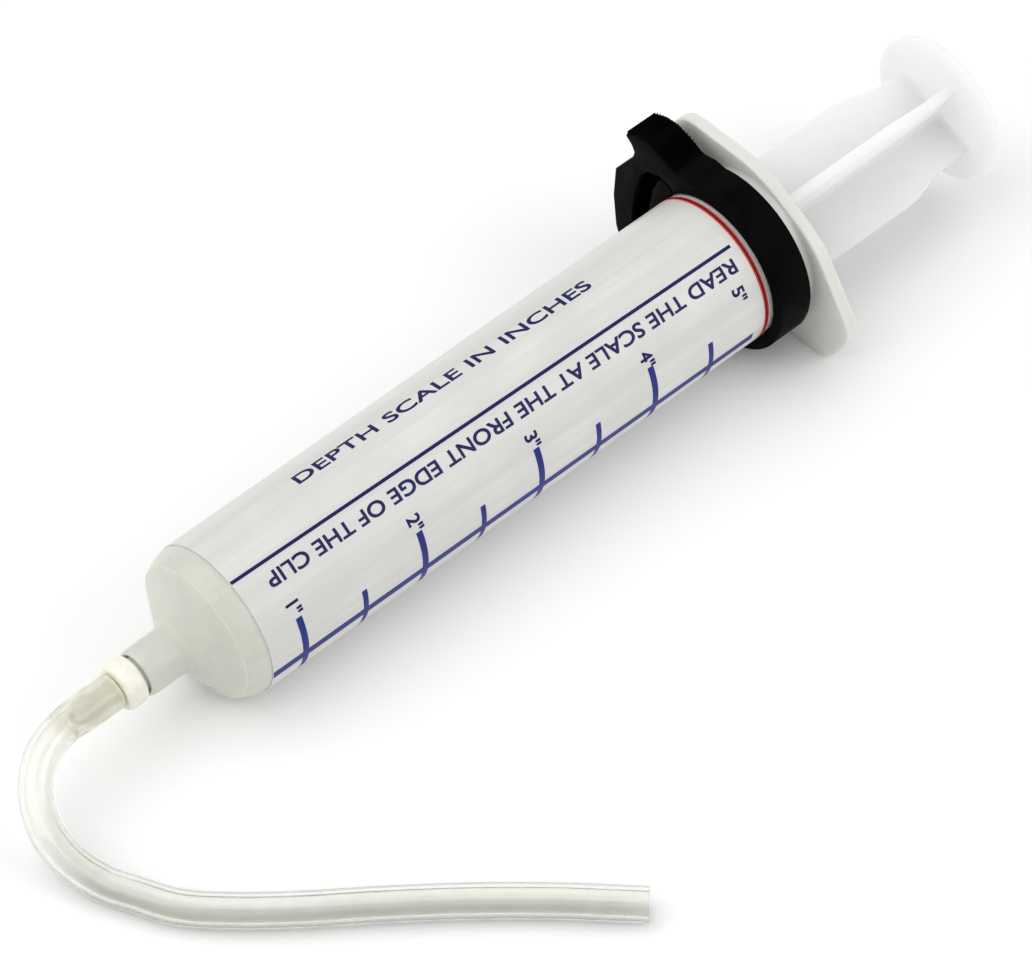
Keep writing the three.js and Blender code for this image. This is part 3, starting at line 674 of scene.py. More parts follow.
def label_film(base):
    """White film drawn tight round the barrel. Soft lighter and darker bands along it are painted into its
    colour as lengthwise highlights; they also roughen and bump the film.
    """
    material, shader = new_material(
        "label film", roughness=0.42, ior=1.48, specular_ior_level=0.35, coat_weight=0.08, coat_roughness=0.2,
    )
    streaks_and_painted_highlights = noise(material, along_syringe(material, (0.012, 1, 1)), 0.42, 4)
    clouds = noise(material, along_syringe(material), 0.09, 3)
    # Painted highlights: the lengthwise bands lighten and darken the film's colour.
    body = mixed(material, spread(material, streaks_and_painted_highlights, 0, 1, 0.3, 0.7), tinted(base, 0.9), tinted(base, 1.08))
    body = mixed(material, spread(material, clouds, 0, 0.6), body, tinted(base, 0.92))
    painted(material, shader, body, spread(material, streaks_and_painted_highlights, 0.28, 0.42))
    grain = noise(material, along_syringe(material), 2.2, 2)
    bumped(material, shader, (streaks_and_painted_highlights, 0.3, 0.08), (grain, 0.12, 0.01))
    return material


def printing_ink(name, base):
    """Ink that lies thin and slightly uneven on the film."""
    material, shader = new_material(name, roughness=0.5, specular_ior_level=0.25)
    grain = noise(material, along_syringe(material), 4.0, 3)
    body = mixed(material, spread(material, grain, 0, 1), tinted(base, 0.8), tinted(base, 1.25))
    painted(material, shader, body, spread(material, grain, 0.4, 0.52))
    return material


def milky_plastic(base):
    """Matt milky plastic of the plunger rod."""
    material, shader = new_material(
        "milky plastic",
        roughness=0.5,
        ior=1.49,
        subsurface_weight=0.9,
        subsurface_scale=0.02,
        subsurface_radius=(1.0, 1.0, 1.0),
        specular_ior_level=0.2,
    )
    vector = along_syringe(material)
    clouds = noise(material, vector, 0.12, 4)
    grain = noise(material, vector, 2.5, 3)
    body = mixed(material, spread(material, clouds, 0, 1), tinted(base, 0.965), tinted(base, 1.02))
    painted(material, shader, body, spread(material, grain, 0.44, 0.58))
    bumped(material, shader, (clouds, 0.3, 0.15), (grain, 0.25, 0.02))
    return material


def stopper_rubber(base):
    """Soft black rubber, slightly greasy."""
    material, shader = new_material("stopper rubber", roughness=0.5, specular_ior_level=0.4)
    grain = noise(material, along_syringe(material), 1.6, 4)
    body = mixed(material, spread(material, grain, 0, 1), tinted(base, 0.8), tinted(base, 1.5))
    painted(material, shader, body, spread(material, grain, 0.38, 0.6))
    bumped(material, shader, (grain, 0.3, 0.04))
    return material


def black_nylon(base):
    """Black moulded nylon with a fine satin grain."""
    material, shader = new_material("black nylon", roughness=0.5, specular_ior_level=0.02)
    vector = along_syringe(material)
    clouds = noise(material, vector, 0.22, 3)
    grain = noise(material, vector, 3.5, 4, 0.7)
    body = mixed(material, spread(material, clouds, 0, 1), tinted(base, 0.7), tinted(base, 1.6))
    painted(material, shader, body, spread(material, clouds, 0.42, 0.6))
    bumped(material, shader, (grain, 0.35, 0.03))
    return material


def cream_nylon(base):
    """Cream nylon of the connector, its gloss varying in soft clouds."""
    material, shader = new_material(
        "cream nylon",
        roughness=0.4,
        subsurface_weight=0.6,
        subsurface_scale=0.002,
        subsurface_radius=(1.0, 0.95, 0.75),
    )
    vector = along_syringe(material)
    clouds = noise(material, vector, 0.5, 4)
    body = mixed(material, spread(material, clouds, 0, 1), tinted(base, 0.95), tinted(base, 1.04))
    painted(material, shader, body, spread(material, clouds, 0.34, 0.48))
    bumped(material, shader, (noise(material, vector, 2.2, 3), 0.2, 0.03))
    return material


def clear_vinyl(base):
    """Clear soft vinyl. It looks yellower at its mouth, where it is stretched over the cream barb."""
    material, shader = new_material("clear vinyl", roughness=0.06, ior=1.42, transmission_weight=0.96)
    tree = material.node_tree
    mouth = tree.nodes.new("ShaderNodeAttribute")
    mouth.attribute_name = "mouth"
    vector = along_syringe(material)
    clouds = noise(material, vector, 0.4, 3)
    clear = mixed(material, spread(material, clouds, 0, 1), tinted(base, 0.99), tinted(base, 1.02))
    body = mixed(material, mouth.outputs["Fac"], clear, (0.93, 0.91, 0.74))
    painted(material, shader, body, spread(material, clouds, 0.04, 0.1))
    cloudy = spread(material, mouth.outputs["Fac"], 0.96, 0.45, 0, 1)
    tree.links.new(cloudy, shader.inputs["Transmission Weight"])
    bumped(material, shader, (noise(material, vector, 0.9, 2), 0.2, 0.03))
    return material


def pale_floor(base):
    """Plain matt board under the syringe."""
    material, shader = new_material("pale floor", roughness=0.85, specular_ior_level=0.1)
    coordinates = material.node_tree.nodes.new("ShaderNodeTexCoord")
    grain = noise(material, coordinates.outputs["Object"], 30, 2)
    body = mixed(material, grain, tinted(base, 0.995), tinted(base, 1.005))
    material.node_tree.links.new(body, shader.inputs["Base Color"])
    return material


# ------------------------------------------------------------------------------------------------------------
# Stage
# ------------------------------------------------------------------------------------------------------------


# The point that the camera looks at and the width of its sensor, in millimetres.
CAMERA_TARGET = (-19.57, -19.07, 24.71)
SENSOR = 36


def area_light(name, place, power, width, height):
    """A rectangular lamp that faces the syringe. Its place and size are in metres and its power in watts."""
    light = bpy.data.lights.new(name, "AREA")
    light.shape = "RECTANGLE"
    light.size, light.size_y = width, height
    light.energy = power
    item = linked(name, light)
    item.location = place
    item.rotation_euler = (-Vector(place)).to_track_quat("-Z", "Y").to_euler()


class SYRINGE_OT_stage(Operator):
    """Makes the camera, the floor and the studio light"""

    bl_idname = "syringe.stage"
    bl_label = "Stage"

    def execute(self, context):
        size = sizes(context, "stage")
        scene = context.scene
        turn, rise = math.radians(size.azimuth), math.radians(size.elevation)
        back = Vector((math.sin(turn) * math.cos(rise), -math.cos(turn) * math.cos(rise), math.sin(rise)))
        target = Vector(CAMERA_TARGET) * MM
        camera = bpy.data.cameras.new("camera")
        camera.sensor_width = SENSOR
        camera.lens = size.lens
        camera.dof.use_dof = False
        camera.clip_start, camera.clip_end = 0.05, 10
        item = linked("camera", camera)
        item.location = target + back * size.distance * MM
        rolled = Matrix.Rotation(math.radians(size.roll), 3, "Z").to_quaternion()
        item.rotation_euler = ((-back).to_track_quat("-Z", "Y") @ rolled).to_euler()
        scene.camera = item

        half = size.half_floor * MM
        floor = bmesh.new()
        corners = [(-half, -half, 0), (half, -half, 0), (half, half, 0), (-half, half, 0)]
        floor.faces.new([floor.verts.new(corner) for corner in corners])
        board = linked("floor", mesh_of(floor, "floor"))
        board.data.materials.append(pale_floor(size.floor_colour))

        world = bpy.data.worlds.new("studio")
        world.use_nodes = True
        world.node_tree.nodes["Background"].inputs["Color"].default_value = (1, 1, 1, 1)
        world.node_tree.nodes["Background"].inputs["Strength"].default_value = 0.72
        scene.world = world
        area_light("key light", (-0.55, 0.35, 1.0), 8.0, 1.4, 1.4)
        area_light("fill light", (0.5, -0.9, 0.8), 3.5, 0.9, 0.6)
        scene.view_settings.view_transform = "Standard"
        scene.view_settings.look = "None"
        return {"FINISHED"}


# ------------------------------------------------------------------------------------------------------------
# Extension tube
# ------------------------------------------------------------------------------------------------------------

# The tube's way down to the table and along it, in millimetres from under the tip of the nozzle. The last
# number of each point is its height over the place where the tube lies flat.
TUBE_ROUTE = [
    (-17.8, -1.4, 9.4),
    (-22.4, -4.8, 7.5),
    (-25, -9.7, 4.9),
    (-25.3, -15.3, 2.2),
    (-23.5, -21.3, 0.2),
    (-20.9, -26.8, 0),
    (-17.7, -33, 0),
    (-11.9, -39.3, 0),
    (-4.5, -45.9, 0),
    (5, -53.5, 0),
    (15.1, -62, 0),
    (25.5, -71.6, 0),
    (35.8, -82.1, 0),
]

# How much of the cream barb shows through the tube, by the distance from the tube's mouth.
MOUTH_SHARE = [(0, 1), (0.7, 0.6), (8.5, 0.45), (12, 0.0)]

# How far the edges of the cut end are drawn together, as a share of their radius.
CUT_SOFTENING = 0.04


def between(value, table):
    """The value of a smooth table of (position, value) at a position."""
    for (a, first), (b, second) in zip(table, table[1:]):
        if value <= b:
            share = max(0, (value - a) / (b - a))
            share = share * share * (3 - 2 * share)
            return first + (second - first) * share
    return table[-1][1]


class SYRINGE_OT_extension_tube(Operator):
    """Makes the clear tube that is pushed over the barb and lies along the table"""

    bl_idname = "syringe.extension_tube"
    bl_label = "Extension tube"

    def execute(self, context):
        size, plug = sizes(context, "tube"), sizes(context, "connector")
        start_x = plug.ring_start - plug.ring_length - size.gap
        tip = PLACE.to_translation() / MM
        flat = size.radius + size.lift
        barb_reach = (0, size.straight - 1, size.straight)
        on_axis = [PLACE @ Vector((start_x - away, 0, 0)) / MM for away in barb_reach]
        route = [Vector((tip.x + x, tip.y + y, flat + rise)) for x, y, rise in TUBE_ROUTE]
        line = smooth_curve([*on_axis, *route], 0.8)
        walked = [0.0]
        for p, q in zip(line, line[1:]):
            walked.append(walked[-1] + (q - p).length)
        widest = plug.barb_radius
        outside = [
            (0, size.stretched - 0.16), (0.25, size.stretched), (1.8, size.stretched - 0.06),
            (4.6, size.stretched), (5.6, size.stretched - 0.02), (11.0, size.radius), (200, size.radius),
        ]
        inside = [
            (0, 2.1), (2.4, 1.95), (4.6, widest + 0.06), (5.4, widest + 0.06), (8.4, 1.72), (10.5, size.bore),
            (200, size.bore),
        ]
        normal = (line[1] - line[0]).cross(Vector((0, 0, 1))).normalized()
        outer, inner = [], []
        sides = 48
        for i, point in enumerate(line):
            ahead = (line[min(i + 1, len(line) - 1)] - line[max(i - 1, 0)]).normalized()
            normal = (normal - ahead * normal.dot(ahead)).normalized()
            other = ahead.cross(normal)
            far = walked[i]
            for rings, table in ((outer, outside), (inner, inside)):
                radius = between(far, table)
                turns = [2 * math.pi * k / sides for k in range(sides)]
                rings.append([point + (normal * math.cos(t) + other * math.sin(t)) * radius for t in turns])
        middle = line[-1]
        for rings, sign in ((outer, 1), (inner, -1)):
            rings[-1] = [middle + (p - middle) * (1 - CUT_SOFTENING * sign) for p in rings[-1]]
        shape = loft([*outer, *reversed(inner)], joined=True)
        mouth = shape.verts.layers.float.new("mouth")
        shape.verts.ensure_lookup_table()
        for row in range(2 * len(line)):
            far = walked[row if row < len(line) else 2 * len(line) - 1 - row]
            for k in range(sides):
                shape.verts[row * sides + k][mouth] = between(far, MOUTH_SHARE)
        tube = mesh_of(shape, "extension_tube")
        tube.transform(Matrix.Diagonal((MM, MM, MM, 1)))
        made = piece(
            "clear_extension_tube", tube, clear_vinyl(size.colour), "tube_body",
            ["extension_tube"], place=False,
        )
        return {"FINISHED"}


# ------------------------------------------------------------------------------------------------------------
# Barrel
# ------------------------------------------------------------------------------------------------------------


# Smaller sizes of the barrel and the nozzle, in millimetres. The taper is a rise in radius for each millimetre.
CONE_WALL = 1.54
CONE_FOOT_LENGTH = 1.1
CONE_FOOT_RISE = 1.0
COLLAR_MOUTH_ROUND = 1.3
COLLAR_MOUTH_RIM = 0.15
LUER_TAPER = 0.03
THREAD_RIDGE = 0.42
THREAD_HEIGHT = 4.4
FLANGE_EDGE = 0.45
FLANGE_FILLET = 0.8

# A quarter of the flange's outline, as shares of its half length and of its half width.
FLANGE_QUARTER = [
    (0, 1), (0.2, 1), (0.4, 0.93), (0.6, 0.76), (0.77, 0.6), (0.87, 0.51), (0.945, 0.41), (0.985, 0.26), (1, 0),
]


def flange_outline(size):
    """The flange's outline as a list of (angle past its longer side, reach), from a smooth curve."""
    quarter = [Vector((a * size.flange_half_length, b * size.flange_half_width)) for a, b in FLANGE_QUARTER]
    before = [Vector((p.x, -p.y)) for p in quarter[1:-1]]
    after = [Vector((-p.x, p.y)) for p in quarter[1:]]
    curve = smooth_curve([*before, *reversed(quarter), *after], 0.3)
    return sorted((math.degrees(math.atan2(p.y, p.x)), p.length) for p in curve)


def flange_radius(outline, around):
    """Reach of the flange's outline at an angle past its longer side. Both halves are alike."""
    turn = abs((around + 180) % 360 - 180)
    for (a, first), (b, second) in zip(outline, outline[1:]):
        if a <= turn <= b:
            return first + (second - first) * (turn - a) / (b - a)
    return outline[-1][1]


def shoulder(size, start, radius, count=8):
    """The rounded shoulder as a list of (x, radius), from its edge to the cylinder of a given radius."""
    points = []
    for i in range(1, count + 1):
        share = i / count
        drop = size.shoulder_drop * (1 - math.sin(math.pi / 2 * share))
        points.append((start + size.shoulder_length * share, radius - drop))
    return points


def barrel_shape(size):
    """One skin from the nozzle over the cone and the flange, and back through the bore."""
    sides = 144
    turns = [360 * i / sides for i in range(sides)]
    bore = size.radius - size.wall
    mouth = size.flange + size.flange_thickness
    pocket = size.collar_radius - size.collar_wall
    nozzle = size.nozzle_radius + LUER_TAPER * size.collar_floor
    rim = pocket + COLLAR_MOUTH_RIM
    edge_radius = size.radius - size.shoulder_drop
    collar_mouth = []
    for a in map(math.radians, (0, 15, 30, 45, 60, 75, 90)):
        reach = rim + (size.collar_radius - rim) * math.sin(a)
        collar_mouth.append((size.collar_start + COLLAR_MOUTH_ROUND * (1 - math.cos(a)), reach))
    front = filleted(
        [
            (0, size.bore_radius, 0.1),
            (0, size.nozzle_radius, 0.2),
            (size.collar_floor, nozzle, 0.3),
            (size.collar_floor, pocket, 0.25),
            (size.collar_start, pocket, 0.1),
            *collar_mouth,
            (size.collar_end, size.collar_radius, 0.5),
            (size.collar_end + CONE_FOOT_LENGTH, size.collar_radius + CONE_FOOT_RISE, 0.8),
            (size.shoulder - 0.2, edge_radius - 0.32, 0.1),
            (size.shoulder, edge_radius + 0.1, 0.08),
            (size.shoulder + 0.25, edge_radius + 0.12, 0.08),
            *shoulder(size, size.shoulder, size.radius),
        ],
        closed=False,
    )
    outline = flange_outline(size)
    reaches = [flange_radius(outline, turn - size.flange_round) for turn in turns]

    def round_ring(x, radius):
        return [(x, *polar(radius, turn)) for turn in turns]

    def flange_ring(x, inset):
        return [(x, *polar(reach - inset, turn)) for reach, turn in zip(reaches, turns)]

    rings = [round_ring(x, radius) for x, radius in front]
    for x in (40, 70, 100, size.flange - 3):
        rings.append(round_ring(x, size.radius))
    edge = FLANGE_EDGE
    fillets = [min(FLANGE_FILLET, reach - edge - 0.05 - size.radius) for reach in reaches]
    for a in map(math.radians, (0, 22, 45, 68, 90)):
        x = size.flange - FLANGE_FILLET + FLANGE_FILLET * math.sin(a)
        reached = [size.radius + fillet * (1 - math.cos(a)) for fillet in fillets]
        rings.append([(x, *polar(radius, turn)) for radius, turn in zip(reached, turns)])
    quarter_turn = [math.radians(turn) for turn in (0, 18, 36, 54, 72, 90)]
    for a in quarter_turn:
        rings.append(flange_ring(size.flange + edge * (1 - math.cos(a)), edge * (1 - math.sin(a))))
    for a in quarter_turn:
        rings.append(flange_ring(mouth - edge * (1 - math.sin(a)), edge * (1 - math.cos(a))))
    inside = shoulder(size, size.shoulder + CONE_WALL, bore)
    back = filleted(
        [
            (mouth, bore + 1.1),
            (mouth, bore + 0.6, 0.25),
            (mouth - 0.6, bore, 0.2),
            *reversed(inside),
            (size.shoulder + CONE_WALL, bore - size.shoulder_drop, 0.3),
            (size.collar_floor + CONE_WALL, size.bore_radius, 0.4),
            (0.2, size.bore_radius),
        ],
        closed=False,
    )
    rings += [round_ring(x, radius) for x, radius in back]
    return loft(rings, joined=True)


class SYRINGE_OT_barrel(Operator):
    """Makes the barrel with its nozzle, collar and finger flange, and the thread in the collar"""

    bl_idname = "syringe.barrel"
    bl_label = "Barrel"

    def execute(self, context):
        size, plug = sizes(context, "barrel"), sizes(context, "connector")
        plastic = natural_polypropylene(size.colour)
        piece("barrel_moulding", barrel_shape(size), plastic, "barrel_body", ["barrel"])
        thread_start = size.collar_start + 0.7
        settings = {
            "Radius": size.collar_radius - size.collar_wall + 0.05,
            "Ridge": THREAD_RIDGE,
            "Turns": THREAD_HEIGHT / size.thread_lead,
            "Height": THREAD_HEIGHT,
            "Material": plastic,
        }
        tree = thread_tree()
        for start in (0, 180):
            helix = run_tree(tree, bmesh.new(), settings)
            # The helix rises along Z from Y = 0. It is laid along the axis, turned so that the lugs of the
            # connector run between the ridges.
            helix.transform(Matrix.Rotation(math.radians(90), 4, "Y"))
            lug_x = plug.hub_end - 0.5
            turn = 360 * (lug_x - thread_start) / size.thread_lead + start
            helix.transform(Matrix.Rotation(math.radians(90 - turn), 4, "X"))
            helix.transform(Matrix.Translation((thread_start, 0, 0)))
            name = "collar_thread_b" if start else "collar_thread_a"
            piece(name, helix, plastic, "barrel_body")
        return {"FINISHED"}


# ------------------------------------------------------------------------------------------------------------
# Label
# ------------------------------------------------------------------------------------------------------------


# Gap between the barrel and the film, in millimetres.
FILM_GAP = 0.03


def wrapped(shape, radius):
    """Bends a flat shape round the axis. Its y becomes the way round and its z the height over the radius."""
    for vertex in shape.verts:
        x, y, z = vertex.co
        vertex.co = (x, *polar(radius + z, math.degrees(y / radius)))
    return shape


def flat_bar(length_x, length_y, height, centre=(0, 0), turn=0.0, cells=(1, 1)):
    """A closed flat bar cut into cells, so that it bends smoothly."""
    shape = bmesh.new()
    columns, rows = cells
    grid = []
    for z in (height, 0):
        for j in range(rows + 1):
            for i in range(columns + 1):
                x, y = length_x * (i / columns - 0.5), length_y * (j / rows - 0.5)
                grid.append(shape.verts.new((x, y, z)))
    stride = columns + 1
    level = stride * (rows + 1)

    def at(i, j, k):
        return grid[k * level + j * stride + i]

    for j in range(rows):
        for i in range(columns):
            shape.faces.new([at(i, j, 0), at(i + 1, j, 0), at(i + 1, j + 1, 0), at(i, j + 1, 0)])
            shape.faces.new([at(i, j, 1), at(i, j + 1, 1), at(i + 1, j + 1, 1), at(i + 1, j, 1)])
    for i in range(columns):
        for j in (0, rows):
            shape.faces.new([at(i, j, 0), at(i + 1, j, 0), at(i + 1, j, 1), at(i, j, 1)])
    for j in range(rows):
        for i in (0, columns):
            shape.faces.new([at(i, j, 0), at(i, j + 1, 0), at(i, j + 1, 1), at(i, j, 1)])
    bmesh.ops.recalc_face_normals(shape, faces=shape.faces)
    move = Matrix.Translation((*centre, 0)) @ Matrix.Rotation(math.radians(turn), 4, "Z")
    bmesh.ops.transform(shape, matrix=move, verts=shape.verts)
    return shape


def lettering(words, cap_height, total_width, ink, bold=0.075):
    """Flat solid letters, centred. Four copies, each a little off the middle, make their strokes bold."""
    text = bpy.data.curves.new("lettering", "FONT")
    text.body = words
    text.size = 1
    text.extrude = 0.1
    text.resolution_u = 5
    mesh = plain_mesh(linked("lettering", text))
    shape = bmesh.new()
    shape.from_mesh(mesh)
    bpy.data.meshes.remove(mesh)
    bmesh.ops.remove_doubles(shape, verts=shape.verts, dist=1e-5)
    xs = [v.co.x for v in shape.verts]
    ys = [v.co.y for v in shape.verts]
    middle = Vector(((min(xs) + max(xs)) / 2, (min(ys) + max(ys)) / 2, -0.1))
    bmesh.ops.translate(shape, verts=shape.verts, vec=-middle)
    scale_y = cap_height / (max(ys) - min(ys))
    scale_x = total_width / (max(xs) - min(xs)) if total_width else scale_y
    bmesh.ops.scale(shape, verts=shape.verts, vec=(scale_x, scale_y, ink / 0.2))
    copies = bmesh.new()
    plain = mesh_of(shape, "lettering")
    for step, (across, along) in enumerate(((-bold, -bold), (bold, -bold), (-bold, bold), (bold, bold))):
        plain.transform(Matrix.Translation((across, along, 0.001 * step)))
        copies.from_mesh(plain)
        plain.transform(Matrix.Translation((-across, -along, -0.001 * step)))
    bpy.data.meshes.remove(plain)
    return copies


def cut_in_strips(shape, spacing):
    """Cuts a flat shape across Y, so that it can bend round the axis."""
    ys = [v.co.y for v in shape.verts]
    level = math.ceil(min(ys) / spacing) * spacing
    while level < max(ys):
        everything = [*shape.verts, *shape.edges, *shape.faces]
        bmesh.ops.bisect_plane(shape, geom=everything, plane_co=(0, level, 0), plane_no=(0, 1, 0), dist=1e-5)
        level += spacing
    return shape


class SYRINGE_OT_label(Operator):
    """Makes the film round the barrel"""

    bl_idname = "syringe.label"
    bl_label = "Label film"

    def execute(self, context):
        size, tube = sizes(context, "label"), sizes(context, "barrel")
        inner = tube.radius + FILM_GAP
        outer = inner + size.film
        sides = 180
        lap = 9
        soft = 0.05

        def reach(around, lift):
            """Radius of the film, one thickness more where it laps over itself."""
            past = (around - size.overlap_round) % 360
            if past < lap:
                edge = min(1, min(past, lap - past) / 1.5)
                return outer + lift + size.film * 0.8 * edge
            return outer + lift

        rings = []
        for x, lift in (
            (size.start, -size.film + 0.01),
            (size.start, -soft),
            (size.start + soft, 0),
            (size.end - soft, 0),
            (size.end, -soft),
            (size.end, -size.film + 0.01),
        ):
            rings.append([(x, *polar(reach(360 * i / sides, lift), 360 * i / sides)) for i in range(sides)])
        for x in (size.end, size.start):
            rings.append([(x, *polar(inner, 360 * i / sides)) for i in range(sides)])
        film = label_film(size.film_colour)
        piece("label_wrap", loft(rings, joined=True), film, "barrel_body", ["scale_label"])
        return {"FINISHED"}


# Places of the print, as distances from the tip and angles round the axis.
UPPER_LINE = ((18.6, -21.2), (125.6, -28.7))
SCALE_LINE = ((18.6, -99.3), (124.2, -104.0))
TICK_ROUND = (-66, -123.5)
HALF_TICK_ROUND = (-79.5, -123.5)

# Distances from the tip of the numeral 5, which stands short of its tick's place, and of the limit ring.
LAST_NUMERAL = 122.6
LIMIT_RING = 127.2


class SYRINGE_OT_scale(Operator):
    """Prints the lines, ticks, numerals and words on the label"""

    bl_idname = "syringe.scale"
    bl_label = "Scale"

    def execute(self, context):
        size, tube = sizes(context, "label"), sizes(context, "barrel")
        self.radius = tube.radius + FILM_GAP + size.film
        self.ink = size.ink
        self.navy = printing_ink("navy ink", size.ink_colour)
        tick_ink = printing_ink("blue ink", size.tick_colour)
        self.line("upper_line", UPPER_LINE, size.line_width, self.navy)
        self.line("scale_line", SCALE_LINE, size.scale_line_width, tick_ink)
        tree = repeat_tree()
        self.ticks(tree, "inch_ticks", INCH, size.tick_width, TICK_ROUND, tick_ink)
        self.ticks(tree, "half_inch_ticks", 1.5 * INCH, size.half_tick_width, HALF_TICK_ROUND, tick_ink)
        self.words("heading", size.heading, 2.45, 62.5, (70.8, 12.9), (70.8 + 10, 12.1), 0.0)
        self.words("note", size.note, 2.45, 100.5, (74.1, -37.75), (74.1 + 10, -38.42), 180.0)
        for inch in (1, 2, 3, 4, 5):
            where = INCH * inch if inch < 5 else LAST_NUMERAL
            around = -58.0 - 0.5 * inch
            name, text = f"numeral_{inch}", f'{inch}"'
            self.words(name, text, 2.5, None, (where, around), (where + 10, around), -90.0)
        self.limit_ring(size)
        return {"FINISHED"}

    def millimetres_round(self, around):
        return math.radians(around) * self.radius

    def printed(self, name, shape, ink):
        piece(name, wrapped(shape, self.radius), ink, "barrel_body", crisp=60)

    def line(self, name, ends, width, ink):
        (x0, round0), (x1, round1) = ends
        y0, y1 = self.millimetres_round(round0), self.millimetres_round(round1)
        turn = math.degrees(math.atan2(y1 - y0, x1 - x0))
        centre = ((x0 + x1) / 2, (y0 + y1) / 2)
        reach = math.hypot(x1 - x0, y1 - y0)
        self.printed(name, flat_bar(reach, width, self.ink, centre, turn, (60, 2)), ink)

    def ticks(self, tree, name, first, width, ends, ink):
        start, end = (self.millimetres_round(value) for value in ends)
        bar = flat_bar(width, end - start, self.ink * 1.2, (first, (start + end) / 2), 0, (2, 24))
        settings = {"Count": 4, "Shift": INCH, "Turn": 0.0, "Material": ink}
        mesh = run_tree(tree, wrapped(bar, self.radius), settings)
        piece(name, mesh, ink, "barrel_body", crisp=60)

    def words(self, name, text, height, width, centre, aim, turn):
        """Words round a centre, with their base line towards aim. Both are (distance, angle round)."""
        (x, y), (aim_x, aim_y) = [(far, self.millimetres_round(around)) for far, around in (centre, aim)]
        slope = math.radians(turn) + math.atan2(aim_y - y, aim_x - x)
        shape = lettering(text, height, width, self.ink)
        bmesh.ops.transform(shape, matrix=Matrix.Rotation(slope, 4, "Z"), verts=shape.verts)
        bmesh.ops.translate(shape, verts=shape.verts, vec=(x, y, 0))
        self.printed(name, cut_in_strips(shape, 0.5), self.navy)

    def limit_ring(self, size):
        """The ring at the end of the scale: a red band of ink with a near-black line along its middle."""
        red = printing_ink("red ink", size.limit_colour)
        # The near-black line is 0.32 mm wide and raised a little over the red band, drawn with the same shader
        # as the ink.
        black = printing_ink("black ink", (0.012, 0.010, 0.012))
        for name, width, height, ink in (
            ("limit_band", 0.95, self.ink, red),
            ("limit_line", 0.32, self.ink * 1.8, black),
        ):
            sides = 144
            rings = []
            for side, lift in ((-1, 0), (-1, 1), (1, 1), (1, 0)):
                ring = []
                for i in range(sides):
                    around = 360 * i / sides
                    x = LIMIT_RING + 0.12 * math.cos(math.radians(around - 20)) + side * width / 2
                    ring.append((x, *polar(self.radius + lift * height, around)))
                rings.append(ring)
            piece(name, loft(rings, joined=True), ink, "barrel_body", crisp=60)


# ------------------------------------------------------------------------------------------------------------
# Plunger
# ------------------------------------------------------------------------------------------------------------


class SYRINGE_OT_stopper(Operator):
    """Makes the rubber stopper with its sealing ribs"""

    bl_idname = "syringe.stopper"
    bl_label = "Stopper"

    def execute(self, context):
        size, tube = sizes(context, "plunger"), sizes(context, "barrel")
        rib = tube.radius - tube.wall - 0.06
        groove = rib - 0.7
        front = size.stopper_front
        back = front + size.stopper_length
        first = front + 4.4
        pitch = (back - first) / 5
        corners = [(front, 0), (front + 0.35, 2.0, 1.0)]
        for count in range(3):
            x = first + 2 * count * pitch
            corners += [
                (x, groove, 0.25),
                (x + pitch * 0.2, rib, 0.35),
                (x + pitch * 0.8, rib, 0.35),
                (x + pitch, groove, 0.25),
            ]
        corners += [
            (back, 4.7, 0.2),
            (back - 1.8, 4.7, 0.1),
            (back - 1.8, 6.8, 0.1),
            (back - 5.6, 6.8, 0.2),
            (back - 5.6, 0),
        ]
        shape = turned(filleted(corners, closed=False, steps=4), 96)
        piece(
            "rubber_stopper", shape, stopper_rubber(size.stopper_colour), "stopper_body",
            ["stopper"],
        )
        return {"FINISHED"}


def cross_section(x, reach, half, turn):
    """A cross with round tips and filleted inner corners, as (x, y, z) points."""
    corners = []
    for quarter in range(4):
        a = math.radians(90 * quarter)
        for u, v, radius in ((reach, -half, 0.5), (reach, half, 0.5), (half, half, 0.7)):
            corners.append((u * math.cos(a) - v * math.sin(a), u * math.sin(a) + v * math.cos(a), radius))
    spin = Matrix.Rotation(math.radians(90 - turn), 2)
    points = [spin @ Vector(point) for point in filleted(corners, steps=4)]
    return [(x, y, z) for y, z in points]


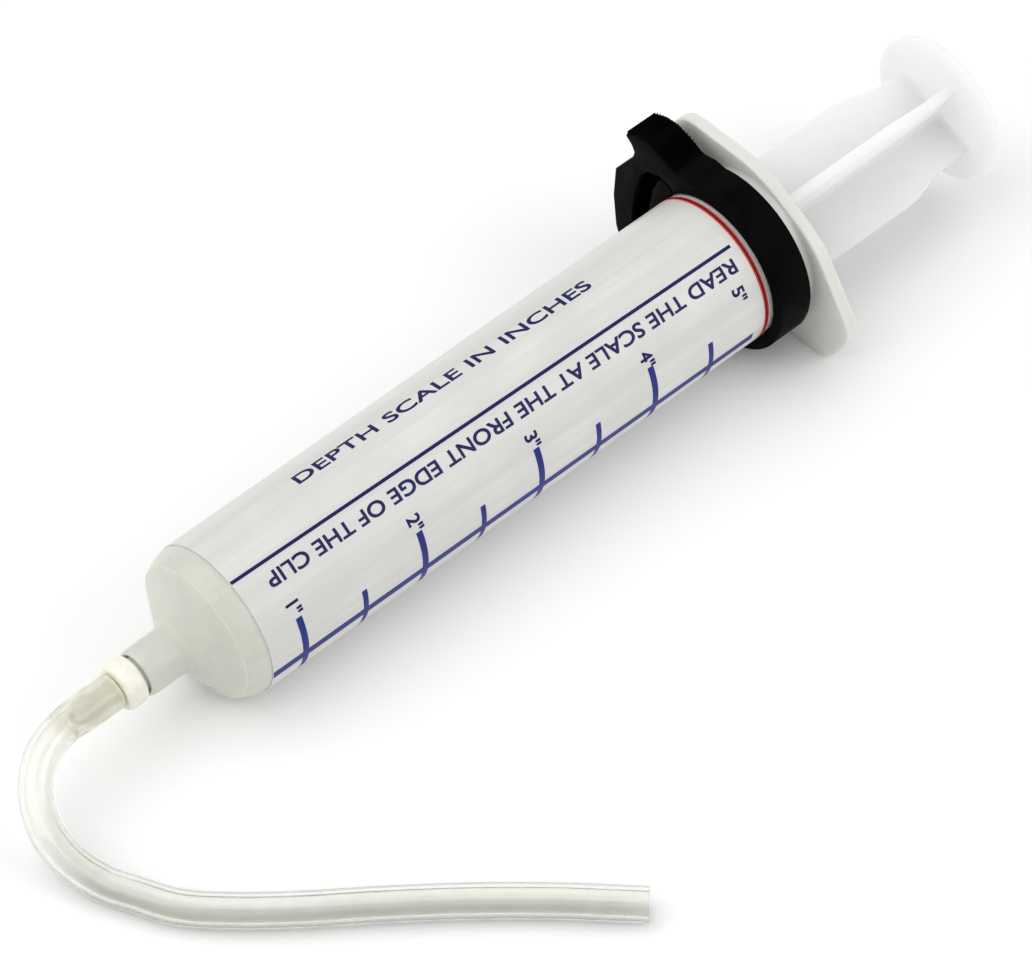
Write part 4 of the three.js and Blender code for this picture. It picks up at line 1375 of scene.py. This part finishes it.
class SYRINGE_OT_plunger_rod(Operator):
    """Makes the rod with its four ribs, the webs and the thumb disc"""

    bl_idname = "syringe.plunger_rod"
    bl_label = "Plunger rod"

    def execute(self, context):
        size = sizes(context, "plunger")
        back = size.stopper_front + size.stopper_length
        web = back + 0.3
        ribs = web + 1.8
        curve = size.disc - size.taper_margin - size.taper
        stations = [(ribs - 1, size.rib_reach)]
        stations += [(ribs + (curve - ribs) * i / 8, size.rib_reach) for i in range(1, 9)]
        for i in range(1, 15):
            share = i / 14
            ease = share * share * (3 - 2 * share)
            reach = size.rib_reach + (size.end_reach - size.rib_reach) * ease
            stations.append((curve + size.taper * share, reach))
        stations.append((size.disc + size.disc_thickness / 2, size.end_reach))
        half = size.rib_thickness / 2
        cross = capped(loft([cross_section(x, reach, half, size.rib_round) for x, reach in stations]))
        head = turned(
            filleted(
                [
                    (back - 5.3, 0),
                    (back - 5.3, 5.7, 0.3),
                    (back - 4.3, 6.5, 0.3),
                    (back - 2.1, 6.5, 0.2),
                    (back - 2.1, 4.4, 0.2),
                    (web, 4.4, 0.2),
                    (web, 12.0, 0.5),
                    (ribs, 12.0, 0.5),
                    (ribs, 0),
                ],
                closed=False,
                steps=4,
            ),
            96,
        )
        end = size.disc + size.disc_thickness
        rim = size.disc_radius
        disc = turned(
            filleted(
                [
                    (size.disc, 0),
                    (size.disc, rim - 2.0, 1.5),
                    (size.disc + 0.2, rim, 0.9),
                    (end, rim, 1.0),
                    (end, rim - 2.4, 0.6),
                    (end - 0.18, rim - 3.0, 0.6),
                    (end - 0.18, 0),
                ],
                closed=False,
                steps=6,
            ),
            144,
        )
        mesh = united([cross, head, disc], "plunger_moulding")
        piece(
            "plunger_moulding", mesh, milky_plastic(size.rod_colour), "rod_body",
            ["plunger_rod"],
        )
        return {"FINISHED"}


# ------------------------------------------------------------------------------------------------------------
# Snap clamp
# ------------------------------------------------------------------------------------------------------------


# Rounding of the clamp's edges in millimetres, and the places of its two thumb tabs and the angle from a tab's
# tip to its foot, in degrees.
CLAMP_EDGE = 0.3
UPPER_TAB_ROUND = 53
LOWER_TAB_ROUND = 141
TAB_FOOT = 38


def sharp(points):
    """Outline points that stay sharp, as corners."""
    return [(*point, 0) for point in points]


class SYRINGE_OT_clamp(Operator):
    """Makes the snap clamp: two jaws, the band that flexes between them, and their teeth"""

    bl_idname = "syringe.clamp"
    bl_label = "Snap clamp"

    def execute(self, context):
        size = sizes(context, "clamp")
        self.size = size
        self.hinge = polar(size.outer_radius, size.hinge_round)
        self.nylon = black_nylon(size.colour)
        self.jaw("clamp_upper", self.upper_outline(), "clamp_upper_body", "clamp_upper_jaw")
        self.jaw("clamp_lower", self.lower_outline(), "clamp_lower_body", "clamp_lower_jaw")
        self.flexing_band()
        self.repeats()
        return {"FINISHED"}

    def latch(self, reach, turn):
        """A point of the latch: a reach from the hinge point and an angle from the latch's own direction."""
        return polar(reach, self.size.hinge_round + 180 + turn, self.hinge)

    def latch_arc(self, reach, start, end):
        return [self.latch(reach, start + (end - start) * i / 16) for i in range(17)]

    def tab_face(self, radius, around, side):
        """The outer face of a thumb tab, from the band out to its tip."""
        base = self.size.outer_radius
        steps = [(0.0, TAB_FOOT), (0.09, 31), (0.18, 21), (0.46, 16), (0.7, 12), (0.88, 6.5), (1, 0)]
        points = [polar(base + share * (radius - base), around - side * back) for share, back in steps]
        middle = [(*point, 2.5) for point in points[1:-1]]
        return filleted([points[0], *middle, points[-1]], closed=False, steps=3)

    def upper_outline(self):
        size = self.size
        out = size.teeth_reach + size.finger
        start = size.hinge_round + size.flexing
        tab = self.tab_face(size.upper_tab_radius, UPPER_TAB_ROUND, 1)
        rest = [
            (*tab[-1], 0.35),
            (*self.latch(out - 0.4, -13.2), 1.3),
            (*self.latch(out - 1.5, -12.0), 0.7),
            (*self.latch(out - 1.8, -9.6), 0.6),
            (*self.latch(out + 0.4, 0.3), 0.5),
        ]
        finger = [self.latch(out, 10), self.latch(out - 0.4, 20)]
        tip = [
            (*self.latch(out - 1.2, 29), 1.2),
            (*self.latch(size.teeth_reach, 29), 0.5),
        ]
        root = [
            (*self.latch(size.teeth_reach, -7), 0),
            (*self.latch(size.teeth_reach - 0.7, -11), 0.6),
            (*self.latch(size.teeth_reach - 2.2, -13), 0.8),
            (*self.latch(size.tongue_reach + 0.6, -14.4), 0.3),
            (*polar(size.inner_radius + 2.2, 44.0), 0.4),
            (*polar(size.inner_radius + 0.9, 42.4), 0.3),
            (*polar(size.inner_radius, 41.6), 0.2),
        ]
        corners = sharp(arc(size.outer_radius, start, UPPER_TAB_ROUND - TAB_FOOT)[:-1])
        corners += sharp(tab[:-1])
        corners += rest
        corners += sharp(finger)
        corners += tip
        corners += sharp(reversed(self.latch_arc(size.teeth_reach, -6, 28)))
        corners += root
        corners += sharp(arc(size.inner_radius, 40.5, start))
        return filleted(corners, steps=4)

    def lower_outline(self):
        size = self.size
        end = 360 + size.hinge_round - size.flexing
        ramp = size.teeth_reach - 0.3 - size.tooth_depth
        tab = self.tab_face(size.lower_tab_radius, LOWER_TAB_ROUND, -1)
        corners = [
            (*polar(size.inner_radius, 43.4), 0.15),
            (*polar(size.inner_radius + 1.2, 44.6), 0.3),
            (*polar(size.inner_radius + 2.6, 46.6), 0.4),
            (*self.latch(size.tongue_reach, -13.0), 0.4),
            (*self.latch(size.tongue_reach, -6.0), 0),
            (*self.latch(size.tongue_reach - 0.5, 3.8), 0),
            (*self.latch(size.tongue_reach - 0.3, 12), 0.3),
            (*self.latch(ramp, 13.8), 0.2),
        ]
        corners += sharp(self.latch_arc(ramp, 14.5, 29.0))
        corners += [
            (*self.latch(ramp, 30.2), 0.4),
            (*self.latch(size.tongue_reach - 0.6, 32.5), 0.4),
            (*self.latch(size.tongue_reach - 0.4, 35.5), 0.4),
            (*tab[-1], 0.5),
        ]
        corners += sharp(reversed(tab[:-1]))
        corners += sharp(arc(size.outer_radius, LOWER_TAB_ROUND + TAB_FOOT, end)[1:])
        corners += sharp(arc(size.inner_radius, end, 44.6))
        return filleted(corners, steps=4)

    def jaw(self, name, outline, body, node):
        size = self.size
        shape = plate(outline, size.start, size.width, edge=CLAMP_EDGE, steps=3)
        piece(name, shape, self.nylon, body, [node], crisp=40)

    def flexing_band(self):
        """The part of the band round the hinge, which bends on the real clamp when it opens. Here it is one
        fixed piece.
        """
        size = self.size
        count = 24
        inner, outer = size.inner_radius, size.outer_radius
        x0, x1 = size.start, size.start + size.width
        corners = ((x0, inner), (x1, inner), (x1, outer), (x0, outer))
        section = filleted([(*corner, CLAMP_EDGE) for corner in corners], steps=3)
        rings = []
        for i in range(count + 1):
            around = size.hinge_round - size.flexing + 2 * size.flexing * i / count
            rings.append([(x, *polar(radius, around)) for x, radius in section])
        band = piece(
            "clamp_hinge_band", capped(loft(rings)), self.nylon, None, crisp=40
        )
        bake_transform(band)

    def prism(self, corners, across):
        """A small ridge across the clamp. The corners are (y, z), and across is its start and width."""
        start, width = across
        shape = bmesh.new()
        ends = [[shape.verts.new((x, y, z)) for y, z in corners] for x in (start, start + width)]
        shape.faces.new(ends[0])
        shape.faces.new(ends[1])
        for i in range(len(corners)):
            j = (i + 1) % len(corners)
            shape.faces.new([ends[0][i], ends[0][j], ends[1][j], ends[1][i]])
        bmesh.ops.recalc_face_normals(shape, faces=shape.faces)
        return shape

    def repeats(self):
        """Ratchet teeth on the finger and the tongue, and the serrations of the thumb tab."""
        size = self.size
        tree = bpy.data.node_groups["Repeat along and round the axis"]
        across = (size.start + 0.25, size.width - 0.5)
        pitch = 1.5
        depth = size.tooth_depth
        reach = size.teeth_reach
        for name, start, count, base, tip, body in (
            ("finger_teeth", -6.5, 23, reach + 0.15, reach - depth + 0.2, "clamp_upper_body"),
            ("tongue_teeth", 15.0, 9, reach - 0.45 - depth, reach - 0.35, "clamp_lower_body"),
        ):
            corners = [
                self.latch(base, start),
                self.latch(tip, start + pitch * 0.8),
                self.latch(base, start + pitch),
            ]
            tooth = about(self.prism(corners, across), self.hinge)
            settings = {"Count": count, "Shift": 0.0, "Turn": -math.radians(pitch), "Material": self.nylon}
            mesh = about(run_tree(tree, tooth, settings), self.hinge, -1)
            piece(name, mesh, self.nylon, body, crisp=20)
        # The serrated pad of the thumb tab is close to a circle through three of its points.
        tab = self.tab_face(size.upper_tab_radius, UPPER_TAB_ROUND, 1)
        first, last = tab[int(len(tab) * 0.33)], tab[-1]
        middle = tab[int(len(tab) * 0.66)]
        centre, radius = circle_through(first, middle, last)
        turns = [math.degrees(math.atan2(p[0] - centre[0], p[1] - centre[1])) for p in (first, last)]
        count = 17
        step = (turns[1] - turns[0] - 1.0) / count
        corners = [
            polar(radius - 0.5, turns[0], centre),
            polar(radius + 0.42, turns[0] + step * 0.35, centre),
            polar(radius - 0.5, turns[0] + step * 1.0, centre),
        ]
        ridge = about(self.prism(corners, across), centre)
        settings = {"Count": count, "Shift": 0.0, "Turn": -math.radians(step), "Material": self.nylon}
        mesh = about(run_tree(tree, ridge, settings), centre, -1)
        piece("thumb_tab_serrations", mesh, self.nylon, "clamp_upper_body", crisp=20)


def circle_through(a, b, c):
    """Centre and radius of the circle through three points."""
    ax, ay = a
    bx, by = b
    cx, cy = c
    d = 2 * (ax * (by - cy) + bx * (cy - ay) + cx * (ay - by))
    x = ((ax**2 + ay**2) * (by - cy) + (bx**2 + by**2) * (cy - ay) + (cx**2 + cy**2) * (ay - by)) / d
    y = ((ax**2 + ay**2) * (cx - bx) + (bx**2 + by**2) * (ax - cx) + (cx**2 + cy**2) * (bx - ax)) / d
    return (x, y), math.hypot(ax - x, ay - y)


# ------------------------------------------------------------------------------------------------------------
# Connector
# ------------------------------------------------------------------------------------------------------------


class SYRINGE_OT_connector(Operator):
    """Makes the luer connector with its grip ring, lugs and hose barb"""

    bl_idname = "syringe.connector"
    bl_label = "Connector"

    def execute(self, context):
        size, tube = sizes(context, "connector"), sizes(context, "barrel")
        ring_end = size.ring_start - size.ring_length
        barb_end = ring_end - size.barb_length

        def socket(x):
            return tube.nozzle_radius + LUER_TAPER * x + 0.12

        outline = filleted(
            [
                (size.hub_end, socket(size.hub_end), 0.12),
                (size.hub_end, size.hub_radius, 0.15),
                (size.ring_start, size.hub_radius, 0.3),
                (size.ring_start, size.ring_radius - 0.05, 1.25),
                ((size.ring_start + ring_end) / 2, size.ring_radius + 0.03, 3.0),
                (ring_end, size.ring_radius - 0.05, 1.25),
                (ring_end, 1.8, 0.25),
                (barb_end + 3.5, 1.8, 0.2),
                (barb_end + 3.1, size.barb_radius, 0.12),
                (barb_end, 1.42, 0.15),
                (barb_end, 1.0, 0.1),
                (-1.6, 1.0, 0.2),
                (-1.6, socket(-1.6), 0.2),
            ],
            steps=5,
        )
        body = turned(outline, 96, joined=True)
        shapes = [body]
        for around in (90, 270):
            half = math.degrees(1.6 / size.lug_radius)
            ring = arc(size.lug_radius, around - half, around + half, step=5)
            base = arc(size.hub_radius - 0.35, around + half, around - half, step=5)
            shapes.append(plate([*ring, *base], size.hub_end - 1.0, 0.9, edge=0.12))
        mesh = united(shapes, "luer_connector")
        piece(
            "luer_connector", mesh, cream_nylon(size.colour), "connector_body",
            ["tube_connector"],
        )
        return {"FINISHED"}


# ------------------------------------------------------------------------------------------------------------
# Panel and registration
# ------------------------------------------------------------------------------------------------------------

STEPS = (
    SYRINGE_OT_stage,
    SYRINGE_OT_extension_tube,
    SYRINGE_OT_barrel,
    SYRINGE_OT_label,
    SYRINGE_OT_scale,
    SYRINGE_OT_stopper,
    SYRINGE_OT_plunger_rod,
    SYRINGE_OT_clamp,
    SYRINGE_OT_connector,
)


class SYRINGE_PT_panel(Panel):
    """Lists the sizes and the steps"""

    bl_idname = "SYRINGE_PT_panel"
    bl_label = "Syringe"
    bl_space_type = "VIEW_3D"
    bl_region_type = "UI"
    bl_category = "Syringe"

    def draw(self, context):
        for step in STEPS:
            self.layout.operator(step.bl_idname)
        for name, group in GROUPS.items():
            box = self.layout.box()
            for prop in group.__annotations__:
                box.prop(getattr(context.scene, name), prop)


def register():
    for group in GROUPS.values():
        bpy.utils.register_class(group)
    for name, group in GROUPS.items():
        setattr(bpy.types.Scene, name, PointerProperty(type=group))
    for step in (*STEPS, SYRINGE_PT_panel):
        bpy.utils.register_class(step)


def unregister():
    for step in reversed((*STEPS, SYRINGE_PT_panel)):
        bpy.utils.unregister_class(step)
    for name, group in reversed(GROUPS.items()):
        delattr(bpy.types.Scene, name)
        bpy.utils.unregister_class(group)


def main():
    register()
    for step in STEPS:
        group, action = step.bl_idname.split(".")
        getattr(getattr(bpy.ops, group), action)()


if __name__ == "__main__":
    main()
